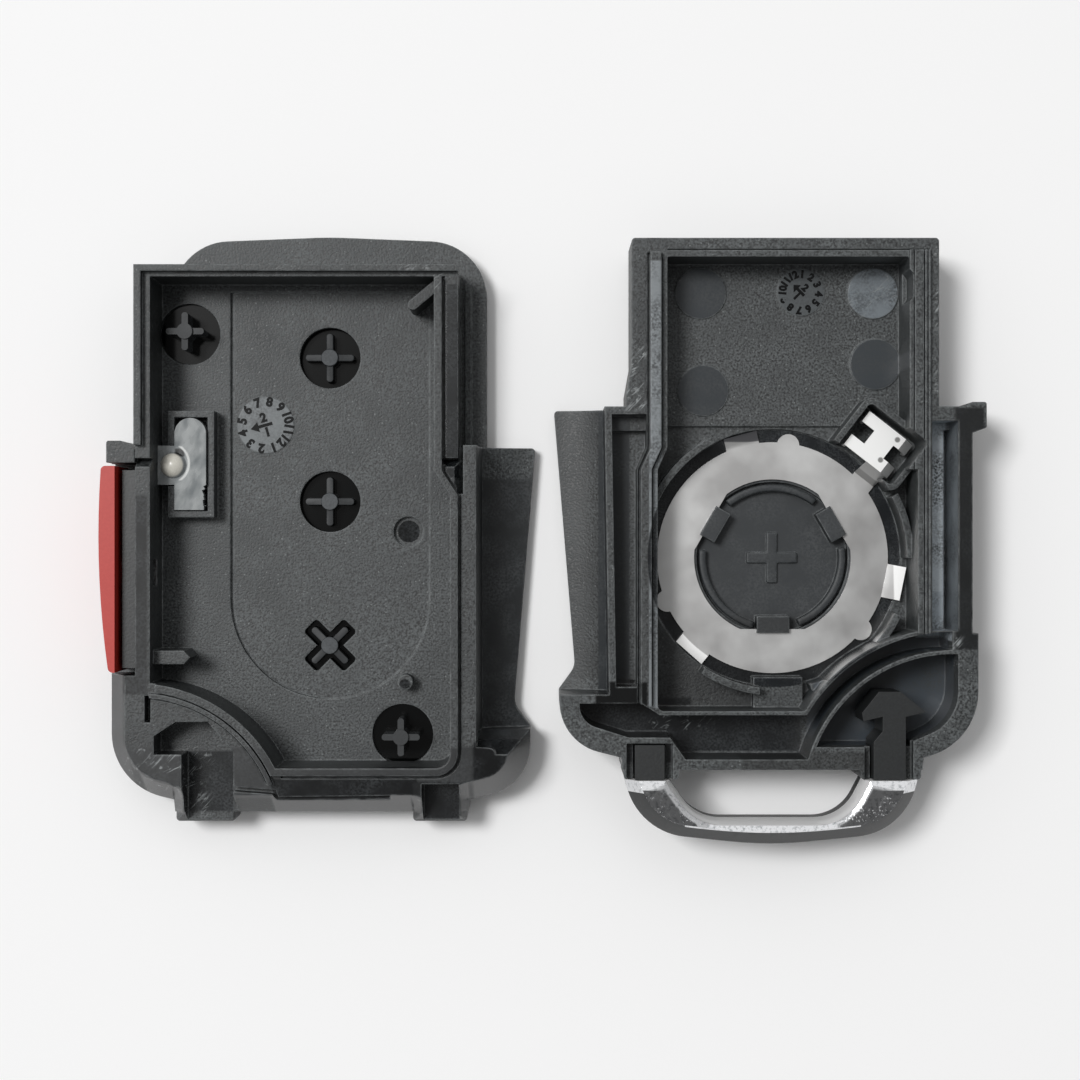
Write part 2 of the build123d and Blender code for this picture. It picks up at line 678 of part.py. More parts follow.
# Light guide: a bar with one round end, a square base with a dome, and a foot that fills the window
def make_light_guide():
    half = guide_w / 2
    bar = outline((guide_x - half, guide_low_y), (guide_x + half, guide_low_y),
                  (guide_x + half, guide_top_y, half - 0.001), (guide_x - half, guide_top_y, half - 0.001))
    solid = slab(bar, floor_z, guide_z)
    solid += brick(guide_base_x - guide_base / 2, guide_x, guide_base_y - guide_base / 2,
                   guide_base_y + guide_base / 2, floor_z, guide_z)
    ball_r = (dome_r ** 2 + dome_rise ** 2) / (2 * dome_rise)
    dome = Pos(guide_base_x - 0.3, guide_base_y, guide_z + dome_rise - ball_r) * Sphere(ball_r)
    solid += dome & brick(-30, 0, -30, 30, guide_z - 0.2, guide_z + 5)
    solid += brick(guide_x - guide_foot_w / 2, guide_x + guide_foot_w / 2,
                   guide_base_y - guide_foot_h / 2, guide_base_y + guide_foot_h / 2, window_inset, floor_z)
    return solid


# Clip pocket of the battery contact: a box turned with the prongs
def clip_pocket(wall):
    return Pos(clip_x, clip_y) * Rot(0, 0, clip_turn) * RectangleRounded(
        prong_len + 2 * clip_room + 2 * wall, prong_pitch + prong_w + 2 * clip_room + 2 * wall, 0.4 + wall)


def make_rear_shell():
    ridge_z = rear_split + ridge_rise
    side_x = panic_side_x - panic_set_in
    tongue_z = tongue_step + tongue_floor

    # Outer form: body with the set-in side of the panic button, tongue and wing
    set_in = Pos(side_x + 5, (panic_top_y + panic_low_y) / 2) * Rectangle(10, panic_top_y - panic_low_y)
    rear_plan = body_plan(True, 0, rear_wall_top_x, rear_wall_low_x)
    body = face_round(slab(body_plan(False) + wing_plan(), 0, foot_h), foot_round)
    body += slab(rear_plan - set_in, foot_h, rear_split)
    body += slab(outline((-tongue_blade_side, tongue_top, 0.3), (tongue_panic_side, tongue_top, 0.3),
                         (tongue_panic_side, shoulder_y - 2), (-tongue_blade_side, shoulder_y - 2)),
                 tongue_step, rear_split)
    body += wing(rear_split) - brick(-20, 20, -30, 30, 0, foot_h)
    body += slab(shoulder_ear(side_x), rear_floor, rear_split)
    far = -tongue_blade_side - tongue_flare
    flare = outline((-tongue_blade_side + 1, shoulder_y + 3.2), (-tongue_blade_side, shoulder_y + 3.2),
                    (far, shoulder_y + 1.0), (far, shoulder_y - 1),
                    (-tongue_blade_side + 1, shoulder_y - 1))
    body += slab(flare, tongue_step, rear_split)

    # Tray: tongue floor, lower floor, well of the coin cell and its hub
    past, from_y, to_y = side_relief
    relief = outline((0, from_y), (cell_d / 2 + past, from_y), (cell_d / 2 + past, to_y), (0, to_y))
    bay = rear_bay() + (relief - Pos(chamber_x, chamber_y) * Circle(rear_round_r))
    body -= slab(bay, tongue_z, ridge_z)
    body -= slab(bay, tray_z, ridge_z) & brick(-blade_side_x, blade_side_x, chamber_y, step_y, 0, ridge_z)
    well_r = cell_d / 2 + cell_clear
    body -= slab(bay & Circle(well_r), seat_z, ridge_z)
    body -= slab(contact_plan(seat_clear), seat_z, ridge_z)
    body -= post(0, 0, ring_id / 2 - hub_rim, hub_floor, ridge_z)

    # Pocket of the contact's clip, cut into the side wall, with its low wall
    body -= slab(clip_pocket(0), tray_z, ridge_z)
    pocket = (clip_pocket(pocket_wall) - clip_pocket(0)) & bay
    pocket -= Circle(well_r)
    body += slab(pocket, seat_z - 0.1, pocket_z)

    # Walls of the well between the contact's tabs
    well_top = seat_z + sheet + cell_t - well_wall_lower
    for start, end in well_spans:
        arc = arc_wall(0, 0, well_r, well_r + well_wall, start, end, seat_z - 0.1, well_top)
        body += arc & slab(bay, 0, ridge_z)

    # Hub: raised arcs, plus sign and the hooks over the contact's inner edge
    for start, end in hub_spans:
        body += arc_wall(0, 0, key_arc_r, key_arc_r + key_arc_w, start, end, hub_floor - 0.1, seat_z)
    plus = Rectangle(2 * plus_reach, plus_w) + Rectangle(plus_w, 2 * plus_reach)
    body += slab(plus, hub_floor - 0.1, hub_floor + plus_rise)
    hook_low = seat_z + sheet + hook_gap
    for angle in hook_angles:
        half, near = hook_w / 2, ring_flat - hook_in
        hook = brick(near, ring_flat - hook_gap, -half, half, hub_floor - 0.1, hook_low)
        hook += brick(near, ring_flat + hook_over, -half, half, hook_low, hook_low + hook_t)
        body += Rot(0, 0, angle) * hook

    # Block below the contact, the discs left by the ejector pins and the date dial
    half = block_w / 2
    body += brick(block_x - half, block_x + half, rear_bay_bottom - 0.2, -ring_od / 2 - block_gap,
                  seat_z - 0.1, block_z)
    for x, y in pad_discs:
        body += post(x, y, pad_disc_r, tongue_z - 0.1, tongue_z + pad_disc_rise)
    body += post(*rear_dial, rear_dial_r, tongue_z - 0.1, tongue_z + dial_rise)

    # Ridge on the blade side, between a slit in the ledge beside it and a groove
    ridge_out = rear_ledge + rear_ridge
    blade_half = brick(-blade_side_x, -2, rear_bay_bottom + 0.4, rear_bay_top + 0.3, 0, 20)
    slit = slab(rear_bay(rear_ledge) - rear_bay(rear_ledge - ledge_slit), rear_split - line_d, ridge_z)
    groove = rear_bay(ridge_out + rear_groove) - rear_bay(ridge_out)
    groove = slab(groove, rear_split - groove_depth, ridge_z)
    body -= (slit + groove) & blade_half
    ridge = slab(rear_bay(ridge_out) - rear_bay(rear_ledge), rear_split - 0.1, ridge_z)
    body += ridge & blade_half
    top_line = brick(-rear_bay_x, rim_x, rear_bay_top + 0.5, rear_bay_top + 0.5 + line_w,
                     rear_split - line_d, ridge_z)
    body -= top_line

    # Lined rim on the panic side with its small notch
    rim = brick(rear_bay_panic_x, rim_x, panic_low_y, rear_bay_top + 0.5, rear_split - 0.1, ridge_z - 0.3)
    rim -= slab(relief, 0, 20)
    for x in rim_lines:
        rim -= brick(x, x + line_w, panic_low_y - 1, tongue_top, rear_split - 0.05, ridge_z)
    body += rim - slab(clip_pocket(0), 0, 20)
    place, half, depth = notch
    near, far = rear_bay_panic_x, rear_bay_panic_x + depth
    cut = outline((near - 1, place - half), (near, place - half), (far, place - half + 0.4, 0.4),
                  (far, place + half - 0.4, 0.4), (near, place + half), (near - 1, place + half))
    body -= slab(cut, tongue_z + 1.5, ridge_z)

    # Channel beside the wing's wall, where the front half's flange enters
    ridge_x = -rear_bay_x - ridge_out - rear_groove - 0.05
    top_y, low_y, jog_by = shoulder_y - 0.6, wing_low_y + 0.6, rear_jog[2]
    channel = outline((-rear_wall_top_x + channel_wall, top_y), (ridge_x, top_y),
                      (ridge_x, rear_jog[0] + 0.1), (ridge_x - jog_by, rear_jog[1]),
                      (ridge_x - jog_by, low_y), (-rear_wall_low_x + channel_wall, low_y))
    body -= slab(channel, channel_block_z, ridge_z)
    body -= slab(channel & Pos(0, top_y - channel_block_l - 20) * Rectangle(60, 40), channel_z, ridge_z)

    # Channel of the tall front wall on the panic side, with a slit along the outer skin
    body -= brick(tongue_panic_side - panic_channel_in, side_x - panic_skin, panic_low_y + 0.2,
                  shoulder_y - 1.1, panic_channel_z, ridge_z)
    body -= brick(side_x - panic_skin - slit_w, side_x - panic_skin, panic_low_y + 0.2, panic_top_y,
                  rear_floor + 0.8, ridge_z)

    # Chamber of the barbed leg, and the channel of the front half's round wall between two thin ribs
    low_y = case_bottom_y + thin_rim
    chamber = outline((panic_side_x - rim_w, 0),
                      (panic_side_x - rim_w, chin_y + corner_drop + rim_w, panic_corner_r - rim_w),
                      (barbed_leg_x + 1.8, chin_y + rim_w - 0.3),
                      (barbed_leg_x + 1.8, case_bottom_y + rim_w + 0.2),
                      (0, case_bottom_y + rim_w + 0.2), (0, 0))
    centre = Pos(chamber_x, chamber_y)
    body -= slab(chamber & centre * Circle(chamber_r), chamber_floor, ridge_z)
    channel = centre * (Circle(chamber_r + thin_rib + round_channel) - Circle(chamber_r + thin_rib))
    channel &= outline((-2, low_y), (side_x - panic_skin - slit_w, low_y),
                       (side_x - panic_skin - slit_w, panic_low_y + 0.3), (-2, panic_low_y + 0.3))
    body -= slab(channel, side_pocket_z, ridge_z)
    body -= leg_socket(barbed_leg_x, barbed_leg_w, case_bottom_y + 2.5)

    # Pocket below the tray and the trough of the plain leg
    rail_y = rear_bay_bottom - pocket_rail
    pocket = outline((-blade_side_x + rim_w, wing_low_y - 0.7),
                     (-blade_side_x + rim_w, chin_y + corner_drop + rim_w, pocket_corner_r),
                     (-plain_leg_x - 1.6, chin_y + rim_w), (-plain_leg_x + 1.6, chin_y + rim_w),
                     (-plain_leg_x + 2.8, low_y), (chamber_x, low_y), (chamber_x, rail_y),
                     (-rear_bay_x - 0.6, rail_y), (-plain_leg_x - 0.6, wing_low_y - 0.7))
    pocket -= centre * Circle(chamber_r + thin_rib)
    body -= slab(pocket, side_pocket_z, ridge_z)
    body -= leg_socket(-plain_leg_x, plain_leg_w, plain_leg_end_y + socket_fit)
    return body


# Socket of a loop leg in the rear shell: a close trough with a shallow step on both sides
def leg_socket(x, width, end_y):
    half = width / 2 + socket_fit
    socket = brick(x - half, x + half, case_bottom_y - 2, end_y, leg_z - socket_fit, 20)
    half = width / 2 + socket_step
    return socket + brick(x - half, x + half, case_bottom_y - 2, end_y, socket_step_z, 20)


# Sheet strip bent along a radius of the cell: points are (distance from the axis, height of its underside)
def radial_strip(angle, aside, width, points):
    lower = [(r, z) for r, z in points]
    upper = [(r, z + sheet) for r, z in reversed(points)]
    profile = Plane.XZ * make_face(Polyline(*lower, *upper, lower[0]))
    strip = extrude(profile, width / 2, both=True)
    return Rot(0, 0, angle) * Pos(0, aside, 0) * strip


# Outer edge of the contact's ring with its round lobes
def contact_plan(grow=0.0):
    face = Circle(ring_od / 2 + grow)
    for angle in lobe_angles:
        face += Rot(0, 0, angle) * Pos(ring_od / 2 - 0.15, 0) * Circle(lobe_r + grow)
    return face


# Battery contact, stamped from one sheet: ring, round lobes, upright tabs, neck and clip
def make_battery_contact():
    outer = ring_od / 2
    hole = Circle(ring_id / 2)
    for angle in hook_angles:
        hole -= Rot(0, 0, angle) * Pos(ring_flat + 5, 0) * Rectangle(10, 20)
    contact = slab(contact_plan() - hole, seat_z, seat_z + sheet)
    past, rise = short_tab
    for angle in short_tab_angles:
        contact += radial_strip(angle, 0, spring_tab_w, [
            (outer - 0.4, seat_z), (outer, seat_z), (cell_d / 2 + past, seat_z + rise)])
    past, rise = long_tab
    contact += radial_strip(long_tab_angle, 0, spring_tab_w, [
        (outer - 0.4, seat_z), (outer - 0.1, seat_z), (cell_d / 2 - 0.35, seat_z + 0.3),
        (cell_d / 2 + past, seat_z + rise)])
    turn = 90 + clip_turn
    along = clip_x * cos(radians(turn)) + clip_y * sin(radians(turn))
    aside = -clip_x * sin(radians(turn)) + clip_y * cos(radians(turn))
    near, far = along - prong_pitch / 2, along + prong_pitch / 2
    contact += radial_strip(turn, aside - neck_aside, neck_w, [
        (outer - 0.9, seat_z), (outer + 0.2, seat_z), (near - prong_w / 2, clip_z), (near + 0.2, clip_z)])
    contact += radial_strip(turn, aside, neck_w, [(near - 0.2, clip_z), (far + 0.2, clip_z)])
    for v in (near, far):
        prong = brick(-prong_len / 2, prong_len / 2, -prong_w / 2, prong_w / 2, clip_z, clip_z + sheet)
        for end in (-1, 1):
            x = end * (prong_len / 2 - sheet / 2)
            prong += brick(x - sheet / 2, x + sheet / 2, -prong_w / 2, prong_w / 2,
                           clip_z - prong_drop, clip_z)
        contact += Pos(clip_x, clip_y, 0) * Rot(0, 0, clip_turn) * Pos(0, v - along, 0) * prong
    return contact


# Outer edge of the key-ring loop, closed at top_y, and the window inside it
def loop_outer(top_y):
    left, right = -plain_leg_x - 1.9, barbed_leg_x + 2.4
    shoulder = loop_outer_y + 0.8
    return outline((left, top_y), (left, loop_mouth_y), (left + loop_lean, shoulder, loop_outer_r),
                   (loop_shift, loop_outer_y - 0.25, 30), (right - loop_lean, shoulder, loop_outer_r),
                   (right, loop_mouth_y), (right, top_y))


def loop_window(top_y):
    left, right = -plain_leg_x + 1.55, barbed_leg_x - 1.9
    return outline((left, top_y), (left, loop_mouth_y),
                   (loop_shift - loop_inner_x, loop_inner_y, loop_inner_r),
                   (loop_shift + loop_inner_x, loop_inner_y, loop_inner_r), (right, loop_mouth_y),
                   (right, top_y))


# Black core of the loop: its lower band, the plain leg and the leg with the barbed head
def make_loop_core():
    core = slab(loop_outer(loop_mouth_y) - loop_window(loop_mouth_y + 1), loop_low_z, core_top_z)
    core = chamfer(core.edges().group_by(Axis.Z)[0], 0.35)
    half = plain_leg_w / 2
    top = case_bottom_y - socket_out - 0.5
    core += brick(-plain_leg_x - half, -plain_leg_x + half, top, plain_leg_end_y, leg_z, leg_top_z)
    half = barbed_leg_w / 2
    barb = outline((-half, top), (-half, case_bottom_y + 2.2), (-barb_stem, case_bottom_y + 3.0),
                   (-barb_stem, barb_neck_y), (0.4 - barb_half, barb_neck_y - 0.35),
                   (0.3 - barb_half, barb_neck_y + 0.3), (-barb_tip_half, barb_y), (barb_tip_half, barb_y),
                   (barb_half + 0.4, barb_y - 1.6), (half, barb_neck_y), (half, top))
    core += Pos(barbed_leg_x, 0, 0) * slab(barb, leg_z, leg_top_z)
    return core - brick(-blade_side_x, blade_side_x, loop_outer_y - 2, case_bottom_y - socket_out,
                        core_top_z, leg_top_z)


# Bright trim that covers the loop's upper side: a slope on the outside, two facets on the inside
def make_loop_trim():
    far = loop_mouth_y + 6
    rim_z = loop_top_z - loop_slope_h
    trim = slab(loop_outer(far), core_top_z, rim_z)
    lean = degrees(atan2(loop_slope, loop_slope_h))
    trim += extrude(Pos(0, 0, rim_z) * loop_outer(far), loop_slope_h, dir=(0, 0, 1), taper=lean)
    window = loop_window(far)
    facet_z = loop_top_z - loop_facet_h
    step_z = facet_z - loop_inner_slope_h
    trim -= slab(window, core_top_z - 1, loop_top_z)
    lean = degrees(atan2(loop_inner_slope, loop_inner_slope_h))
    trim -= extrude(Pos(0, 0, step_z) * window, loop_inner_slope_h + 1, dir=(0, 0, 1), taper=-lean)
    lean = degrees(atan2(loop_facet, loop_facet_h))
    wide = offset(window, loop_inner_slope)
    trim -= extrude(Pos(0, 0, facet_z) * wide, loop_facet_h, dir=(0, 0, 1), taper=-lean)
    tilt = degrees(atan2(loop_facet_h, loop_end_facet))
    wedge = Pos(0, loop_mouth_y, facet_z) * Rot(-tilt, 0, 0) * Pos(0, -5, 5) * Box(60, 20, 10)
    return trim - wedge - brick(-30, 30, loop_mouth_y, loop_mouth_y + 20, 0, 20)


front_at = Pos(-halves_apart / 2, -halves_stagger / 2, 0)
rear_at = Pos(halves_apart / 2, halves_stagger / 2, 0)
front_pieces = {
    "front_shell": make_front_shell(), "soft_face": make_soft_face(),
    "unlock_button": make_button(button_rows["unlock_button"], 0),
    "lock_button": make_button(button_rows["lock_button"], 0),
    "boot_button": make_button(button_rows["boot_button"], 45),
    "panic_button": make_panic_button(), "panic_carrier": make_panic_carrier(),
    "light_guide": make_light_guide()}
rear_pieces = {
    "rear_shell": make_rear_shell(), "battery_contact": make_battery_contact(),
    "loop_core": make_loop_core(), "loop_trim": make_loop_trim()}
placed = {name: front_at * solid for name, solid in front_pieces.items()}
placed |= {name: rear_at * solid for name, solid in rear_pieces.items()}

# The origin is under the middle of the whole
boxes = [solid.bounding_box() for solid in placed.values()]
middle_x = (min(b.min.X for b in boxes) + max(b.max.X for b in boxes)) / 2
middle_y = (min(b.min.Y for b in boxes) + max(b.max.Y for b in boxes)) / 2
os.makedirs("parts", exist_ok=True)
for name, solid in placed.items():
    export_step(Pos(-middle_x, -middle_y, 0) * solid, f"parts/{name}.step")
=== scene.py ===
import bpy
import math
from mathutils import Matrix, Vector


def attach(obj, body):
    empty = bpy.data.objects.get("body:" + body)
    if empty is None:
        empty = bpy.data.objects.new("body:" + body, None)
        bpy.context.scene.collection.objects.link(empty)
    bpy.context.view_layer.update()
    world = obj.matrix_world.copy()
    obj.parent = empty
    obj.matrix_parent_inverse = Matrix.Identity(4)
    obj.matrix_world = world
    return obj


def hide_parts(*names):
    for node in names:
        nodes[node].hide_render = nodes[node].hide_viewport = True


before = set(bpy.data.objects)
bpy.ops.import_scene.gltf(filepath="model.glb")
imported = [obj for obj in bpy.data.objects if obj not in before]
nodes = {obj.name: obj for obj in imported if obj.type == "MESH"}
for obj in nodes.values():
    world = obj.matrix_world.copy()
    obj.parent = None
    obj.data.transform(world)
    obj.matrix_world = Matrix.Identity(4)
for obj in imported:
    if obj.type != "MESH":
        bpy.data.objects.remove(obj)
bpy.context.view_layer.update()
for thing in nodes.values():
    thing.select_set(False)

# Camera above the opened shell, looking straight down on the insides of both halves, at the height and with
# the angle of view that the side walls in the photograph give.
MM = 0.001
CAMERA_PLACE = (-0.2557 * MM, -0.275 * MM, 167.6 * MM)
bpy.ops.object.camera_add(location=CAMERA_PLACE, rotation=(0, 0, 0))
camera = bpy.context.object
camera.name = "camera"
camera.data.sensor_width = 36.0
camera.data.lens = 68.8
camera.data.clip_start = 2 * MM
camera.data.clip_end = 20.0
bpy.context.scene.camera = camera
bpy.context.scene.view_settings.view_transform = "Standard"

# Table top: a wide sheet of white paper under both halves, matt and with no grain that shows. It is the pale
# ground of the picture.
bpy.ops.mesh.primitive_plane_add(size=9.0, location=(0, 0, 0))
table_top = bpy.context.object
table_top.name = "table_top"
table_top.select_set(False)


# Linear colour of an sRGB hex value
def linear(code):
    channels = [int(code[i:i + 2], 16) / 255 for i in (1, 3, 5)]
    return (*[c / 12.92 if c <= 0.04045 else ((c + 0.055) / 1.055) ** 2.4 for c in channels], 1.0)


# Adds a node with its settings. A socket given another node's output is linked to it, any other is set.
def add_node(tree, kind, sockets=None, **settings):
    made = tree.nodes.new("ShaderNode" + kind)
    for name, value in settings.items():
        setattr(made, name, value)
    for name, value in (sockets or {}).items():
        if isinstance(value, bpy.types.NodeSocket):
            tree.links.new(value, made.inputs[name])
        else:
            made.inputs[name].default_value = value
    return made


def new_material(name):
    material = bpy.data.materials.new(name)
    material.use_nodes = True
    material.node_tree.nodes.clear()
    return material, material.node_tree


# Ends a material with the sockets of its shader and, where it has a relief, those of the bump
def close_material(tree, sockets, relief=None):
    if relief:
        sockets = {**sockets, "Normal": add_node(tree, "Bump", relief).outputs["Normal"]}
    shader = add_node(tree, "BsdfPrincipled", sockets)
    add_node(tree, "OutputMaterial", {"Surface": shader.outputs["BSDF"]})


paper, tree = new_material("white_paper")
close_material(tree, {"Base Color": linear("#FAFAFA"), "Roughness": 0.9, "Specular IOR Level": 0.1})
table_top.data.materials.append(paper)

# Room around the table: pale walls that are brighter behind than at the sides, and darker straight above,
# where the camera hangs. Each row is a direction, the cosines from it between which the light changes, and
# the light at these two.
ROOM_LIGHT = (((-0.15, 0.45, 0.88), 0.1, 0.92, 0.15, 0.60),
              ((0.12, -0.12, 0.985), 0.935, 0.970, 1.0, 0.22))
world = bpy.data.worlds.new("pale_room")
bpy.context.scene.world = world
world.use_nodes = True
tree = world.node_tree
tree.nodes.clear()
way = add_node(tree, "TexCoord").outputs["Generated"]
levels = []
for aim, wide, near, wide_light, near_light in ROOM_LIGHT:
    cosine = add_node(tree, "VectorMath", {0: way, 1: aim}, operation="DOT_PRODUCT").outputs["Value"]
    levels.append(add_node(tree, "MapRange", {"Value": cosine, "From Min": wide, "From Max": near,
                                              "To Min": wide_light, "To Max": near_light}).outputs["Result"])
level = add_node(tree, "Math", {0: levels[0], 1: levels[1]}, operation="MULTIPLY").outputs["Value"]
room = add_node(tree, "Background", {"Color": linear("#FFFFFF"), "Strength": level})
add_node(tree, "OutputWorld", {"Surface": room.outputs["Background"]})

# Soft boxes: a small one at the upper left, which gives the plain shadows, and a wide weak one behind. Both
# look at the middle of the table. Each row is a name, a place, the side of its square and its power in watts.
for name, spot, side, power in (("left_box", (-0.64, 0.36, 1.44), 0.44, 16.4),
                                ("back_box", (0.10, 0.85, 1.41), 0.70, 0.6)):
    bpy.ops.object.light_add(type="AREA", location=spot)
    lamp = bpy.context.object
    lamp.name = name
    lamp.data.shape = "SQUARE"
    lamp.data.size = side
    lamp.data.energy = power
    lamp.rotation_euler = (-Vector(spot)).to_track_quat("-Z", "Y").to_euler()
    lamp.select_set(False)

# Rear shell: the tray that holds the coin cell and the key ring's loop, with a tongue that slides into the
# key head. It is moulded in one shot from black polyamide 6 with glass fibre, and ejector pins leave round
# marks. Places on both halves are given in millimetres from the axis of the coin cell.
REAR_AXIS = (18.3643, -1.6902)
FRONT_AXIS = (-18.1357, -4.6902)


def at(axis, x, y, z=0.0):
    return ((axis[0] + x) * MM, (axis[1] + y) * MM, z * MM)


# One zone made of several: MAXIMUM joins them, MULTIPLY keeps what all share, SUBTRACT takes later ones away
def merge(tree, operation, zones):
    whole = zones[0]
    for zone in zones[1:]:
        joint = add_node(tree, "Math", {0: whole, 1: zone}, operation=operation, use_clamp=True)
        whole = joint.outputs["Value"]
    return whole


# Zone of a surface between two corners: 1 inside, and fading to 0 over a soft edge outside
def box_zone(tree, place, axis, low, high, soft):
    low, high, soft = at(axis, *low), at(axis, *high), soft * MM
    rise = add_node(tree, "MapRange", data_type="FLOAT_VECTOR",
                    sockets={"Vector": place, "From Min": [v - soft for v in low], "From Max": low})
    fall = add_node(tree, "MapRange", data_type="FLOAT_VECTOR",
                    sockets={"Vector": place, "From Min": [v + soft for v in high], "From Max": high})
    both = add_node(tree, "VectorMath", {0: rise.outputs["Vector"], 1: fall.outputs["Vector"]},
                    operation="MULTIPLY")
    sides = add_node(tree, "SeparateXYZ", {"Vector": both.outputs["Vector"]})
    return merge(tree, "MULTIPLY", sides.outputs[:])


# Zone of a surface inside a standing cylinder
def round_zone(tree, place, axis, centre, radius, soft):
    flat = add_node(tree, "VectorMath", {0: place, 1: (1, 1, 0)}, operation="MULTIPLY").outputs["Vector"]
    far = add_node(tree, "VectorMath", {0: flat, 1: at(axis, *centre)}, operation="DISTANCE").outputs["Value"]
    return add_node(tree, "MapRange", {"Value": far, "From Min": radius * MM,
                                       "From Max": (radius - soft) * MM}).outputs["Result"]


# Lays coats over a ground colour, one after another: each is the share of the surface it covers and a colour
def paint(tree, ground, coats):
    for share, coat in coats:
        below, above = [linear(colour) if isinstance(colour, str) else colour for colour in (ground, coat)]
        mixed = add_node(tree, "Mix", {"Factor": share, "A": below, "B": above}, data_type="RGBA")
        ground = mixed.outputs["Result"]
    return ground


# Cloudy pattern with spots of a given size: 0 where its noise is under the low level, 1 above the high one
def mottle(tree, place, size, detail=2.0, low=0.0, high=1.0):
    clouds = add_node(tree, "TexNoise", {"Vector": place, "Scale": 1 / size, "Detail": detail}).outputs[0]
    return add_node(tree, "MapRange", {"Value": clouds, "From Min": low, "From Max": high}).outputs["Result"]


# Fine scratches along one direction, which show where a drawn-out noise is high
SCRATCH_FROM, SCRATCH_FULL = 0.70, 0.76


def scratches(tree, place, angle, length, width, share):
    turned = add_node(tree, "Mapping", vector_type="TEXTURE",
                      sockets={"Vector": place, "Scale": (length * MM, width * MM, length * MM),
                               "Rotation": (0, 0, math.radians(angle))})
    lines = add_node(tree, "TexNoise", {"Vector": turned.outputs["Vector"], "Scale": 1.0, "Detail": 2.0,
                                        "Distortion": 0.3})
    return add_node(tree, "MapRange", {"Value": lines.outputs[0], "From Min": SCRATCH_FROM - share,
                                       "From Max": SCRATCH_FULL - share}).outputs["Result"]


# Black polyamide 6 with glass fibre, moulded in spark-eroded steel: a matt grey-black with a grain of about
# 0.1 mm, drawn at 0.17 mm so that it shows, with pale flecks where fibre ends reach the skin. Edges are
# rounded and painted paler, a painted highlight broken up like rubbing. Polished steel leaves smooth patches,
# some of them painted shade or painted light, and handling leaves fine pale scratches.
GRAIN = 0.17 * MM
FLECK = 0.30 * MM
CLOUD = 2.6 * MM
WIDE_CLOUD = 9 * MM
EDGE_ROUND = 0.20 * MM
EDGE_MOTTLE = 0.7 * MM
NICK = 0.35 * MM
NICK_CLOUD = 1.1 * MM
